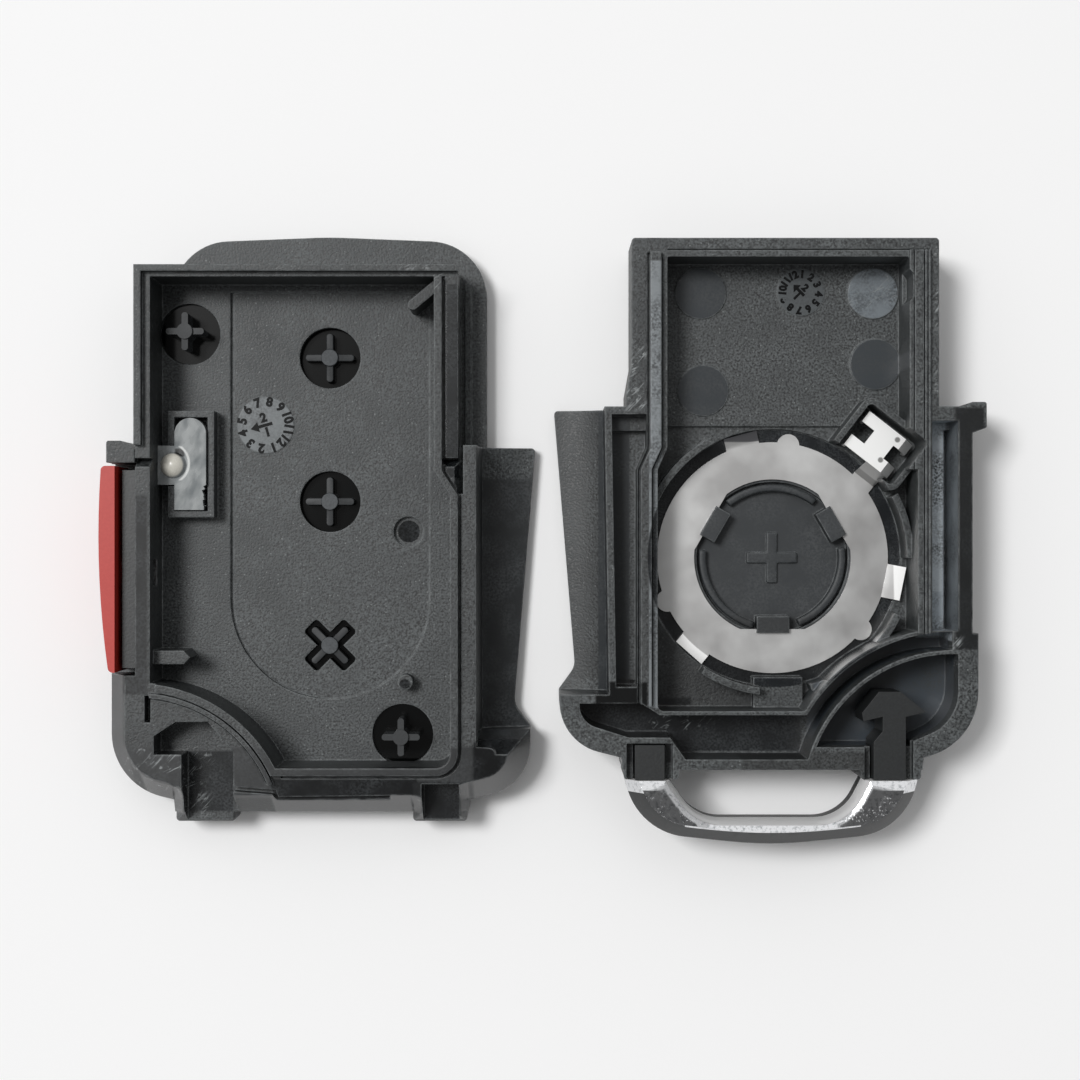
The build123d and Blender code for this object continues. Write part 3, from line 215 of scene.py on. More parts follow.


# A painted-shade row is a box, with its low and high corner and its soft edge, and how far painted shade
# darkens it. Boxes and discs, with their centre, lowest height and radius, are smoother patches of a colour
# and a roughness; where their rows say so, the colour is painted shade or painted light. A scuffed row is a
# box that is scratched.
def moulded_pa6(name, axis, painted_shade, boxes, discs, scuffed):
    material, tree = new_material(name)
    place = add_node(tree, "TexCoord").outputs["Object"]
    # Ground: a grain between two greys, broad pale clouds, and flecks in the few cells that are drawn for one
    grain = mottle(tree, place, GRAIN, 3.0, 0.36, 0.64)
    cloud = mottle(tree, place, CLOUD, 3.0, 0.35, 0.65)
    pale_cloud = merge(tree, "MULTIPLY", [cloud, mottle(tree, place, WIDE_CLOUD)])
    cells = add_node(tree, "TexVoronoi", {"Vector": place, "Scale": 1 / FLECK})
    lot = add_node(tree, "SeparateColor", {"Color": cells.outputs["Color"]}).outputs["Red"]
    rare = add_node(tree, "MapRange", {"Value": lot, "From Min": 0.62, "From Max": 0.86}).outputs["Result"]
    near = add_node(tree, "MapRange", {"Value": cells.outputs["Distance"], "From Min": 0.26,
                                       "From Max": 0.10}).outputs["Result"]
    fleck = merge(tree, "MULTIPLY", [rare, near])
    tone = paint(tree, "#0D0F10", [(grain, "#575B5C"), (pale_cloud, "#2C2F30"), (fleck, "#6E7272")])
    rough = add_node(tree, "MapRange", {"Value": grain, "To Min": 0.42, "To Max": 0.60}).outputs["Result"]

    # Smoother patches, each veiled by the grain where the clouds lie, and then the painted shade
    patches = [(box_zone(tree, place, axis, low, high, soft), colour, gloss)
               for low, high, soft, colour, gloss in boxes]
    height = add_node(tree, "SeparateXYZ", {"Vector": place}).outputs["Z"]
    for centre, low, radius, colour, gloss in discs:
        above = add_node(tree, "MapRange", {"Value": height, "From Min": (low - 0.1) * MM,
                                            "From Max": low * MM}).outputs["Result"]
        disc = round_zone(tree, place, axis, centre, radius, 0.1)
        patches.append((merge(tree, "MULTIPLY", [above, disc]), colour, gloss))
    for zone, colour, gloss in patches:
        veiled = paint(tree, colour, [(grain, "#3A3D3F")])
        tone = paint(tree, tone, [(zone, paint(tree, colour, [(cloud, veiled)]))])
        rough = add_node(tree, "Mix", {"Factor": zone, "A": rough, "B": gloss}).outputs["Result"]
    # Painted shade: each row darkens its box towards near black
    for low, high, soft, share in painted_shade:
        zone = box_zone(tree, place, axis, low, high, soft)
        tone = paint(tree, tone, [(merge(tree, "MULTIPLY", [zone, share]), "#050606")])

    # Edges painted paler where the rounded surface turns away from the facet, a painted highlight broken up
    # like rubbing, and marks of handling
    bevel = add_node(tree, "Bevel", {"Radius": EDGE_ROUND}, samples=4).outputs["Normal"]
    facet = add_node(tree, "NewGeometry").outputs["Normal"]
    turn = add_node(tree, "VectorMath", {0: bevel, 1: facet}, operation="DOT_PRODUCT").outputs["Value"]
    edge = add_node(tree, "MapRange", {"Value": turn, "From Min": 0.985, "From Max": 0.82}).outputs["Result"]
    edge_highlight_and_rub = merge(tree, "MULTIPLY", [edge, mottle(tree, place, EDGE_MOTTLE, 2.0, 0.22, 0.68)])
    handled = merge(tree, "MAXIMUM", [box_zone(tree, place, axis, low, high, soft)
                                      for low, high, soft in scuffed])
    marks = merge(tree, "MAXIMUM", [scratches(tree, place, angle=48, length=2.6, width=0.16, share=0.10),
                                    scratches(tree, place, angle=24, length=1.8, width=0.12, share=0.06),
                                    mottle(tree, place, NICK, 3.0, 0.60, 0.72)])
    marks = merge(tree, "MULTIPLY", [handled, marks, mottle(tree, place, NICK_CLOUD, 3.0, 0.42, 0.62)])
    tone = paint(tree, tone, [(edge_highlight_and_rub, "#8C9091"), (marks, "#8A8E8F")])

    # Relief of the grain, level on the smoother patches
    bare = merge(tree, "MAXIMUM", [zone for zone, _, _ in patches])
    relief = add_node(tree, "Mix", {"Factor": bare, "A": grain, "B": 0.5}).outputs["Result"]
    close_material(tree, {"Base Color": tone, "Roughness": rough, "IOR": 1.53},
                   {"Height": relief, "Strength": 0.6, "Distance": 0.015 * MM, "Normal": bevel})
    return material


def dress(name, material):
    nodes[name].data.materials.clear()
    nodes[name].data.materials.append(material)


# Painted shade on the rear shell: each row is a box and how far it is darkened
REAR_PAINTED_SHADE = [
    ((-10.4, -12.0, 1.5), (9.6, -5.0, 2.6), 0.8, 0.55),                     # floor of the well, near the loop
    ((-18.6, -9.6, 0), (-14.0, 11.6, 9), 0.2, 0.34),                        # left wing
    ((13.7, -7.0, 0), (15.8, 11.6, 9), 0.2, 0.62),                          # outer wall on the right
    ((-14.2, -11.4, 3), (-10.4, -9.7, 9), 0.2, 0.92),                       # end of the left channel
    ((-2.8, -18.4, 3), (7.0, -15.2, 9), 0.3, 0.55),                         # near wall, beside the loop
    ((-11.6, -9.6, 5), (-10.2, 23.0, 9), 0.1, 0.30),                        # outer side of the left ridge
    ((-13.9, -9.0, 5), (-13.2, 11.6, 9), 0.1, 0.30)]                        # inner side of the left wall
REAR_BOXES = [
    ((-14.2, -11.4, 3), (-10.4, -9.7, 9), 0.2, "#0C0E10", 0.22),            # end of the left channel, painted shade
    ((13.8, -7.0, 5), (15.8, 11.6, 9), 0.2, "#15181A", 0.32),               # top of the right wall
    ((-13.9, -11.6, 1.5), (-11.6, 11.6, 6.9), 0.15, "#202427", 0.34),       # left channel
    ((-15.4, -15.9, 1.5), (-6.6, -11.3, 6.6), 0.25, "#0A0C0F", 0.28),       # pocket at the plain leg, painted shade
    ((-6.6, -15.4, 1.5), (2.2, -12.2, 6.6), 0.25, "#0C0F12", 0.30),         # pocket between the legs, painted shade
    ((11.6, -6.4, 1.8), (13.95, 11.4, 6.9), 0.12, "#C6CFD6", 0.34),         # right channel, painted light
    ((12.3, -2.6, 1.8), (13.2, 10.4, 6.9), 0.2, "#DDE4E9", 0.34),           # its floor, the brightest painted light
    ((-10.15, -11.6, 7.1), (-9.15, 23.0, 8.0), 0.08, "#7C8184", 0.40),      # top of the left ridge
    ((3.0, -15.8, 1.5), (14.6, -6.5, 5.2), 0.3, "#3A4148", 0.34)]           # pocket at the barbed leg
REAR_DISCS = [
    ((0, 0), 0.8, 10.35, "#14171A", 0.24),                                  # well of the coin cell, painted shade
    ((0, 0), 0.8, 6.45, "#23272A", 0.50),                                   # hub
    ((-5.8, 21.1), 2.4, 2.05, "#2C3135", 0.34),                             # four marks of ejector pins
    ((-5.6, 13.35), 2.4, 2.05, "#2A2F33", 0.34),
    ((7.95, 21.1), 2.4, 2.05, "#747B80", 0.30),
    ((8.15, 15.45), 2.4, 2.05, "#34393D", 0.32),
    ((2.2, 21.2), 2.4, 1.9, "#4A4F51", 0.42)]                               # date dial
REAR_SCUFFED = [
    ((9.4, -8.6, 3), (14.0, -6.4, 9), 0.5),                                 # far wall of that pocket
    ((12.2, 12.5, 6), (14.2, 24.5, 9), 0.3),                                # right rim of the tongue
    ((-9.5, -13.6, 1), (-5.0, -12.2, 6), 0.5),                              # near wall of the well
    ((-12.6, 11.8, 7), (-10.6, 16.5, 9), 0.6),                              # left shoulder of the tongue
    ((6.4, 19.5, 2), (9.6, 22.7, 3), 0.6)]                                  # brightest ejector mark
rear_black = moulded_pa6("rear_black_pa6", REAR_AXIS, REAR_PAINTED_SHADE, REAR_BOXES, REAR_DISCS, REAR_SCUFFED)
dress("rear_shell", rear_black)

# Hub below the coin cell: a plus sign and three low ridges along its edge, of the rear shell's polyamide and
# moulded on with it, with rounded tops. Their feet reach a little into the floor.
HUB_FOOT = 1.25
PLUS_REACH, PLUS_WIDTH, PLUS_HEIGHT = 2.03, 0.86, 0.40
RIDGE_RADIUS, RIDGE_WIDTH, RIDGE_HEIGHT = 5.6, 0.56, 0.84
# Where each ridge starts and ends, in degrees. It is a little longer at both ends, to cover the solid's.
RIDGE_SPANS = ((53, 129), (174, 254), (-68, 8))
RIDGE_MORE = 0.4


def apply_modifier(piece, kind, **settings):
    piece.select_set(True)
    bpy.context.view_layer.objects.active = piece
    made = piece.modifiers.new("step", kind)
    for name, value in settings.items():
        setattr(made, name, value)
    bpy.ops.object.modifier_apply(modifier="step")
    piece.select_set(False)


# Joins a tool's solid to the piece (UNION), cuts it out (DIFFERENCE) or leaves what they share (INTERSECT)
def combine(piece, operation, tool, keep_tool=False):
    apply_modifier(piece, "BOOLEAN", operation=operation, object=tool, solver="EXACT")
    if not keep_tool:
        bpy.data.objects.remove(tool, do_unlink=True)


# Breaks the sharp edges to a small round, as a mould or a press leaves them
def break_edges(piece, width, segments=3, angle=28):
    apply_modifier(piece, "BEVEL", width=width * MM, segments=segments, limit_method="ANGLE",
                   angle_limit=math.radians(angle))
    piece.select_set(True)
    bpy.ops.object.shade_smooth_by_angle(angle=math.radians(32))
    piece.select_set(False)
    apply_modifier(piece, "WEIGHTED_NORMAL", keep_sharp=True)


def finish_piece(piece, material, body="root", node=None):
    piece.data.materials.clear()
    piece.data.materials.append(material)
    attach(piece, body)
    if node:
        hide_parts(node)


spot = at(REAR_AXIS, 0, 0, HUB_FOOT + PLUS_HEIGHT / 2)
bars = []
for size in ((2 * PLUS_REACH, PLUS_WIDTH, PLUS_HEIGHT), (PLUS_WIDTH, 2 * PLUS_REACH, PLUS_HEIGHT)):
    bpy.ops.mesh.primitive_cube_add(size=1 * MM, location=spot)
    bpy.ops.object.transform_apply(location=True, rotation=True, scale=True)
    bpy.ops.object.mode_set(mode="EDIT")
    bpy.ops.transform.resize(value=size, center_override=spot)
    bpy.ops.object.mode_set(mode="OBJECT")
    bars.append(bpy.context.object)
    bars[-1].select_set(False)
hub_plus, crossbar = bars
combine(hub_plus, "UNION", crossbar)
hub_plus.name = "hub_plus"
break_edges(hub_plus, 0.10, angle=40)
finish_piece(hub_plus, rear_black)
for start, end in RIDGE_SPANS:
    turn = math.radians(start - RIDGE_MORE)
    spot = at(REAR_AXIS, RIDGE_RADIUS * math.cos(turn), RIDGE_RADIUS * math.sin(turn),
              HUB_FOOT + RIDGE_HEIGHT / 2)
    bpy.ops.mesh.primitive_plane_add(size=1 * MM, location=spot, rotation=(math.pi / 2, 0, turn))
    ridge = bpy.context.object
    ridge.name = f"hub_ridge_{start}"
    ridge.scale = (RIDGE_WIDTH, RIDGE_HEIGHT, 1)
    bpy.ops.object.transform_apply(location=True, rotation=True, scale=True)
    bpy.ops.object.mode_set(mode="EDIT")
    bpy.ops.mesh.select_all(action="SELECT")
    bpy.ops.mesh.spin(steps=24, angle=-math.radians(end - start + 2 * RIDGE_MORE), axis=(0, 0, 1),
                      center=at(REAR_AXIS, 0, 0, HUB_FOOT))
    bpy.ops.mesh.select_all(action="SELECT")
    bpy.ops.mesh.normals_make_consistent(inside=False)
    bpy.ops.object.mode_set(mode="OBJECT")
    ridge.select_set(False)
    break_edges(ridge, 0.14, angle=40)
    finish_piece(ridge, rear_black)

# Date dials: small round inserts in both moulds leave a ring of month numbers, two digits of the year and an
# arrow across the middle, of the shell's own black polyamide. They are raised by a few hundredths of a
# millimetre, and polished steel makes them smooth. The arrow's parts are shares of its length or its width.
MARK_HEIGHT = 0.02
MARK_SWELL = 0.05
YEAR_PLACE = 0.60
SHAFT_THICK, SHAFT_WIDTH, SHAFT_SHARE = 0.04, 0.24, 0.48
HEAD_FLARE, HEAD_SHARE, TIP_SHARE = 3.4, 0.26, 0.06
gloss_black, tree = new_material("polished_pa6")
close_material(tree, {"Base Color": linear("#08090A"), "Roughness": 0.14, "IOR": 1.53})


# The first month stands at one angle, and the arrow points to another, both in degrees from the x axis
def dial_marks(name, axis, centre, height, radius, size, first, arrow, length):
    places = [(str(month + 1), radius, first - 30 * month, first - 30 * month - 90) for month in range(12)]
    places += [(digit, size * YEAR_PLACE, arrow + side, arrow + 180)
               for digit, side in (("2", -90), ("1", 90))]
    marks = []
    for words, away, angle, turned in places:
        angle = math.radians(angle)
        spot = at(axis, centre[0] + away * math.cos(angle), centre[1] + away * math.sin(angle), height)
        bpy.ops.object.text_add(location=spot, rotation=(0, 0, math.radians(turned)))
        word = bpy.context.object
        word.data.body = words
        word.data.size = size * MM
        word.data.extrude = MARK_HEIGHT * MM
        word.data.offset = MARK_SWELL * MM
        word.data.resolution_u = 4
        word.data.align_x = "CENTER"
        word.data.align_y = "CENTER"
        bpy.ops.object.convert(target="MESH")
        marks.append(bpy.context.object)
        marks[-1].select_set(False)
    # Arrow: a flat strip whose end is flared and then drawn out to a point
    spot = at(axis, *centre, height)
    bpy.ops.mesh.primitive_cube_add(size=SHAFT_THICK * MM, location=spot)
    strip = bpy.context.object
    bpy.ops.object.mode_set(mode="EDIT")
    bpy.ops.transform.resize(value=(length * SHAFT_SHARE / SHAFT_THICK, SHAFT_WIDTH / SHAFT_THICK, 1),
                             center_override=spot)
    bpy.ops.mesh.select_all(action="DESELECT")
    bpy.ops.object.mode_set(mode="OBJECT")
    for corner in strip.data.vertices:
        corner.select = corner.co.x > 0
    bpy.ops.object.mode_set(mode="EDIT")
    bpy.ops.mesh.extrude_region_move(TRANSFORM_OT_translate={"value": (0, 0, 0)})
    bpy.ops.transform.resize(value=(1, HEAD_FLARE, 1), center_override=spot)
    bpy.ops.mesh.extrude_region_move(TRANSFORM_OT_translate={"value": (length * HEAD_SHARE * MM, 0, 0)})
    bpy.ops.transform.resize(value=(1, TIP_SHARE, 1), center_override=spot)
    bpy.ops.mesh.select_all(action="SELECT")
    bpy.ops.mesh.remove_doubles(threshold=0.001 * MM)
    bpy.ops.mesh.normals_make_consistent(inside=False)
    bpy.ops.object.mode_set(mode="OBJECT")
    strip.rotation_euler.z = math.radians(arrow)
    for word in marks:
        word.select_set(True)
    bpy.ops.object.join()
    bpy.ops.object.transform_apply(location=True, rotation=True, scale=True)
    bpy.ops.object.mode_set(mode="EDIT")
    bpy.ops.mesh.select_all(action="SELECT")
    bpy.ops.mesh.remove_doubles(threshold=0.0005 * MM)
    bpy.ops.mesh.normals_make_consistent(inside=False)
    bpy.ops.object.mode_set(mode="OBJECT")
    strip.name = name
    strip.select_set(False)
    finish_piece(strip, gloss_black)


dial_marks("front_dial_marks", FRONT_AXIS, centre=(-4.2, 13.65), height=1.64, radius=1.86,
           size=1.0, first=290, arrow=196, length=2.4)
dial_marks("rear_dial_marks", REAR_AXIS, centre=(2.2, 21.2), height=2.76, radius=1.42,
           size=0.80, first=85, arrow=135, length=1.6)

# Battery contact: a ring stamped from nickel-plated spring steel, 0.25 mm thick, with three lobes that lie on
# the floor, three bent tabs that press on the cell and a forked clip that pushes on to the circuit board.
# The tabs are pressed down a little by long use. The clip is matt and dimpled, and its ends bend down; its
# ends and two tabs are painted pale as a painted highlight, and the back tab and the dimples are painted
# darker as painted shade.
CLIP_MIDDLE = (8.15, 8.95)
CLIP_TURN = math.radians(-38)
CLIP_BEND = 1.45
CLIP_SLOPE = 0.8
# Each tab's direction, the distance of its knee from the axis, its slope as stamped and the share it has lost
TABS = ((105, 9.25, 1.17, 0.62), (228.5, 9.25, 1.17, 0.70), (-11.5, 9.65, 1.88, 0.62))
RING_EDGE = 9.45
# Corners of the clip, the near left tab, the right tab and the back tab: the first three painted light, the
# last painted shade
CONTACT_BOXES = (((4.5, 6.2, 3.2), (12, 12.6, 8)), ((-9, -10, 1.8), (-4.6, -5.2, 4)),
                 ((9.7, -3.7, 1.8), (12, -0.4, 4)), ((-4.2, 9.3, 1.8), (-1.0, 10.8, 4)))
CLIP_DENTS = ((9.62, 9.33), (8.28, 7.74))
TAB_REACH, TAB_HALF, TAB_HEIGHTS = 9, 1.6, (0, 4.4)
CLIP_REACH, CLIP_HALF, CLIP_HEIGHTS = 2.0, 2.2, (3.6, 9)


# Own copy of a CAD solid, its doubled points merged and its flat faces whole
def copy_of(node, name):
    piece = bpy.data.objects.new(name, nodes[node].data.copy())
    bpy.context.scene.collection.objects.link(piece)
    piece.data.materials.clear()
    piece.select_set(True)
    bpy.context.view_layer.objects.active = piece
    bpy.ops.object.mode_set(mode="EDIT")
    bpy.ops.mesh.select_all(action="SELECT")
    bpy.ops.mesh.remove_doubles(threshold=0.002 * MM)
    bpy.ops.mesh.dissolve_limited(angle_limit=math.radians(0.5))
    bpy.ops.mesh.normals_make_consistent(inside=False)
    bpy.ops.object.mode_set(mode="OBJECT")
    if piece.data.has_custom_normals:
        bpy.ops.mesh.customdata_custom_splitnormals_clear()
    piece.select_set(False)
    return piece


# Lowers, by a slope, what lies beyond a bend line: up to reach along the turn from its middle, up to half
# aside, and between two heights
def bend_down(piece, middle, turn, reach, half, heights, slope):
    for corner in piece.data.vertices:
        x, y = corner.co.x - middle[0], corner.co.y - middle[1]
        along = x * math.cos(turn) + y * math.sin(turn)
        aside = y * math.cos(turn) - x * math.sin(turn)
        inside = abs(aside) < half * MM and heights[0] * MM < corner.co.z < heights[1] * MM
        if inside and 0 < along < reach * MM:
            corner.co.z -= along * slope


# The clip is divided along its bend line, and then its ends and the tabs are bent
contact_sheet = copy_of("battery_contact", "contact_sheet")
bend_middle = at(REAR_AXIS, CLIP_MIDDLE[0] + CLIP_BEND * math.cos(CLIP_TURN),
                 CLIP_MIDDLE[1] + CLIP_BEND * math.sin(CLIP_TURN))
contact_sheet.select_set(True)
bpy.context.view_layer.objects.active = contact_sheet
bpy.ops.object.mode_set(mode="EDIT")
bpy.ops.mesh.select_all(action="SELECT")
bpy.ops.mesh.bisect(plane_co=bend_middle, plane_no=(math.cos(CLIP_TURN), math.sin(CLIP_TURN), 0))
bpy.ops.object.mode_set(mode="OBJECT")
contact_sheet.select_set(False)
bend_down(contact_sheet, bend_middle, CLIP_TURN, CLIP_REACH, CLIP_HALF, CLIP_HEIGHTS, CLIP_SLOPE)
for angle, knee, stamped, lost in TABS:
    turn = math.radians(angle)
    middle = at(REAR_AXIS, knee * math.cos(turn), knee * math.sin(turn))
    bend_down(contact_sheet, middle, turn, TAB_REACH, TAB_HALF, TAB_HEIGHTS, stamped * lost)
break_edges(contact_sheet, 0.05, segments=2)

# Nickel plating: satin and silvery, with dull smudges of some millimetres. Its fine rolled grain is drawn at
# 0.16 mm, coarser than it is, so that it shows.
nickel, tree = new_material("nickel_plated_steel")
place = add_node(tree, "TexCoord").outputs["Object"]
smudge = mottle(tree, place, 3.4 * MM, 3.0, 0.30, 0.70)
ring = round_zone(tree, place, REAR_AXIS, (0, 0), RING_EDGE, 0.06)
# Painted highlight on the clip's ends and the near left and right tabs, painted shade on the back tab and in
# the dents
*painted_highlight_ends, dark_end = [box_zone(tree, place, REAR_AXIS, low, high, 0.1) for low, high in CONTACT_BOXES]
matt_and_painted_highlight = merge(tree, "SUBTRACT", [merge(tree, "MAXIMUM", painted_highlight_ends), ring])
back_tab_painted_shade = merge(tree, "SUBTRACT", [dark_end, ring])
dent_painted_shade = merge(tree, "MAXIMUM", [round_zone(tree, place, REAR_AXIS, spot, 0.26, 0.10) for spot in CLIP_DENTS])
tone = paint(tree, "#CBCAC9", [(smudge, "#DADAD9"), (matt_and_painted_highlight, "#F4F4F3"), (back_tab_painted_shade, "#77777A"),
                               (dent_painted_shade, "#8E8E8C")])
rough = add_node(tree, "MapRange", {"Value": smudge, "To Min": 0.33, "To Max": 0.40}).outputs["Result"]
rough = add_node(tree, "Mix", {"Factor": matt_and_painted_highlight, "A": rough, "B": 0.58}).outputs["Result"]
close_material(tree, {"Base Color": tone, "Roughness": rough, "Metallic": 1.0},
               {"Height": mottle(tree, place, 0.16 * MM), "Strength": 0.12, "Distance": 0.01 * MM})
finish_piece(contact_sheet, nickel, node="battery_contact")

# Loop for the key ring: a matt black core moulded in polyamide, with two legs that enter the rear shell.
# Its plain leg is trapped by the front half and its barbed leg snaps behind a rib. Its grain is the shell's.
loop_black, tree = new_material("matt_black_pa6")
place = add_node(tree, "TexCoord").outputs["Object"]
grain = mottle(tree, place, GRAIN)
close_material(tree, {"Base Color": paint(tree, "#101112", [(grain, "#272A2B")]), "Roughness": 0.42,
                      "IOR": 1.53}, {"Height": grain, "Strength": 0.4, "Distance": 0.02 * MM})
loop_frame = copy_of("loop_core", "loop_frame")
break_edges(loop_frame, 0.12)
finish_piece(loop_frame, loop_black, node="loop_core")

# Bright trim pressed over the loop: ABS with a chromium plating, mirror-smooth with specks and rub marks, its
# steep inner side satin and painted pale, a painted reflection. The specks are drawn at 0.16 mm, as coarse as
# they need to show.
# Along the far side of the loop the black core comes up in front of it, so that side is cut out of the trim;
# outside the two round corners the trim is also cut to black, a painted dark reflection.
LIP_ROUND = 49.6
LIP_MIDDLE = (-0.7, -21.25 + LIP_ROUND)
LIP_FROM, LIP_TO = -7.4, 6.3
LIP_CORNERS = ((-6.79, -16.60), (5.70, -16.58))
LIP_CORNER_ROUND = 4.1
LIP_MOUTH = -18.2
CUTTER_MIDDLE, CUTTER_HEIGHT, MOUTH_SIDE = 6, 20, 24
# Solid that holds the inner side: a wide arc cut off at both ends, with two round corners and the mouth
bpy.ops.mesh.primitive_cylinder_add(vertices=720, radius=LIP_ROUND * MM, depth=CUTTER_HEIGHT * MM,
                                    location=at(REAR_AXIS, *LIP_MIDDLE, CUTTER_MIDDLE))
inner_side = bpy.context.object
bpy.ops.object.mode_set(mode="EDIT")
for limit, way in ((LIP_FROM, -1), (LIP_TO, 1)):
    bpy.ops.mesh.select_all(action="SELECT")
    bpy.ops.mesh.bisect(plane_co=at(REAR_AXIS, limit, 0), plane_no=(way, 0, 0), use_fill=True,
                        clear_outer=True)
bpy.ops.object.mode_set(mode="OBJECT")
inner_side.select_set(False)
for x, y in LIP_CORNERS:
    bpy.ops.mesh.primitive_cylinder_add(vertices=128, radius=LIP_CORNER_ROUND * MM,
                                        depth=(CUTTER_HEIGHT + 0.4) * MM,
                                        location=at(REAR_AXIS, x, y, CUTTER_MIDDLE))
    corner = bpy.context.object
    corner.select_set(False)
    combine(inner_side, "UNION", corner)
bpy.ops.mesh.primitive_cube_add(size=MOUTH_SIDE * MM,
                                location=at(REAR_AXIS, 0, LIP_MOUTH + MOUTH_SIDE / 2, CUTTER_MIDDLE))
mouth = bpy.context.object
mouth.select_set(False)
combine(inner_side, "UNION", mouth)
# Black lip: the core along the far side, and outside the round corners a painted dark reflection
loop_lip_and_dark_reflection = copy_of("loop_trim", "loop_lip_and_dark_reflection")
combine(loop_lip_and_dark_reflection, "DIFFERENCE", inner_side, keep_tool=True)
loop_cover = copy_of("loop_trim", "loop_cover")
combine(loop_cover, "INTERSECT", inner_side)
break_edges(loop_lip_and_dark_reflection, 0.20, segments=4)
break_edges(loop_cover, 0.20, segments=4)
chromium, tree = new_material("chromium_plated_abs")
place = add_node(tree, "TexCoord").outputs["Object"]
specks = merge(tree, "MULTIPLY", [mottle(tree, place, 0.16 * MM, 2.0, 0.58, 0.66),
                                  mottle(tree, place, 1.6 * MM, 2.0, 0.45, 0.60)])
rub = mottle(tree, place, 0.5 * MM, 4.0, 0.55, 0.75)
worn = mottle(tree, place, 0.28 * MM, 4.0, 0.50, 0.74)
facet = add_node(tree, "NewGeometry").outputs["Normal"]
slope = add_node(tree, "SeparateXYZ", {"Vector": facet}).outputs["Z"]
# Steep sides: satin, less metallic and painted pale, a painted reflection
steep_painted_light = add_node(tree, "MapRange", {"Value": slope, "From Min": 0.50, "From Max": 0.40}).outputs["Result"]
rough = add_node(tree, "MapRange", {"Value": rub, "To Min": 0.09, "To Max": 0.30}).outputs["Result"]
for zone, satin in ((specks, 0.42), (steep_painted_light, 0.55)):
    rough = add_node(tree, "Mix", {"Factor": zone, "A": rough, "B": satin}).outputs["Result"]
metal = add_node(tree, "MapRange", {"Value": steep_painted_light, "To Min": 1.0, "To Max": 0.35}).outputs["Result"]
close_material(tree, {"Base Color": paint(tree, "#DDDEE0", [(worn, "#9FA2A4"), (steep_painted_light, "#FAFAFA")]),
                      "Roughness": rough, "Metallic": metal})
finish_piece(loop_lip_and_dark_reflection, loop_black, node="loop_trim")
finish_piece(loop_cover, chromium, node="loop_trim")

# Front shell: the tray that holds the circuit board above the buttons, moulded in the rear shell's polyamide,
# with rings for the button plungers and tall walls that enter the key head.
# Painted shade on the front shell: each row is a box and how far it is darkened
FRONT_PAINTED_SHADE = [
    ((-20, -20, 4.6), (20, 30, 9), 0.3, 0.24),                              # upper part of all walls
    ((-17.0, -16.6, 4), (-8.4, -11.0, 9), 0.6, 0.25)]                       # near left corner
FRONT_BOXES = [
    ((-16.9, -14.6, 0.4), (-14.3, -5.9, 6.2), 0.25, "#191D20", 0.40),       # outer wall, near the side button
    ((13.3, -11.9, 0.4), (17.9, 9.2, 6.7), 0.3, "#15181A", 0.45),           # right wing, painted shade on its side away from the light
    ((-16.5, -17.6, 6.4), (17.5, -11.8, 9.0), 0.2, "#16191B", 0.40),        # near rim, painted shade
    ((12.8, -16.4, 1.0), (17.6, -11.4, 9.0), 0.3, "#08090B", 0.22),         # near right corner, painted shade
    ((-3.0, -17.6, 2.0), (8.2, -14.3, 9.0), 0.2, "#0A0C0E", 0.22),          # near wall, painted shade
    ((8.1, -17.6, 0.4), (12.2, -14.5, 9.0), 0.2, "#0D0F11", 0.26),          # right foot, painted shade
    ((-14.6, -7.5, 4.0), (-12.8, 7.8, 9.0), 0.2, "#0A0C0D", 0.60),          # wall behind the side button, painted shade
    ((10.4, 9.3, 4.0), (11.5, 24.3, 9.0), 0.1, "#121517", 0.26),            # tall wall on the right
    ((-13.2, -17.0, 1.5), (-6.5, -12.4, 6.3), 0.3, "#101315", 0.26)]        # pocket of the left foot, painted shade
FRONT_DISCS = [
    ((-4.2, 13.65), 1.4, 2.3, "#6A6F71", 0.42),                             # date dial
    ((7.3, 5.1), 0.6, 0.95, "#0C0D0E", 0.16),                               # round hole, painted shade
    ((7.1, -7.1), 0.6, 0.5, "#0C0D0E", 0.2)]                                # pin for the circuit board
FRONT_SCUFFED = [
    ((-13.4, -17.4, 4), (-8.6, -12.2, 9), 0.8),                             # near left corner and foot
    ((-15.6, -14.0, 5), (-13.4, -12.4, 9), 0.4),                            # near left rim
    ((7.2, 24.0, 6), (10.2, 26.6, 9), 0.4),                                 # far right corner
    ((-3.2, 24.0, 6), (-1.4, 25.6, 9), 0.5)]                                # far rim
front_black = moulded_pa6("front_black_pa6", FRONT_AXIS, FRONT_PAINTED_SHADE, FRONT_BOXES, FRONT_DISCS,
                          FRONT_SCUFFED)
dress("front_shell", front_black)

# Soft face: a skin of black thermoplastic elastomer moulded over the front shell. It is matt and slightly
# dusty, painted deep black down in the button holes as painted shade, and painted greyer on the tops of its
# studs as painted light.
soft_skin, tree = new_material("black_tpe")
place = add_node(tree, "TexCoord").outputs["Object"]
grain = mottle(tree, place, GRAIN, 3.0)
dust = mottle(tree, place, 4 * MM, 3.0, 0.3, 0.7)
holes = merge(tree, "MAXIMUM", [box_zone(tree, place, FRONT_AXIS, low, high, 0.15) for low, high in (
    ((-2.0, -8.5, 0.3), (4.0, 21.5, 1.5)), ((-12.9, 18.3, 0.95), (-7.6, 23.6, 2.9)),
    ((4.2, -13.9, 0.95), (9.5, -8.5, 2.9)))])
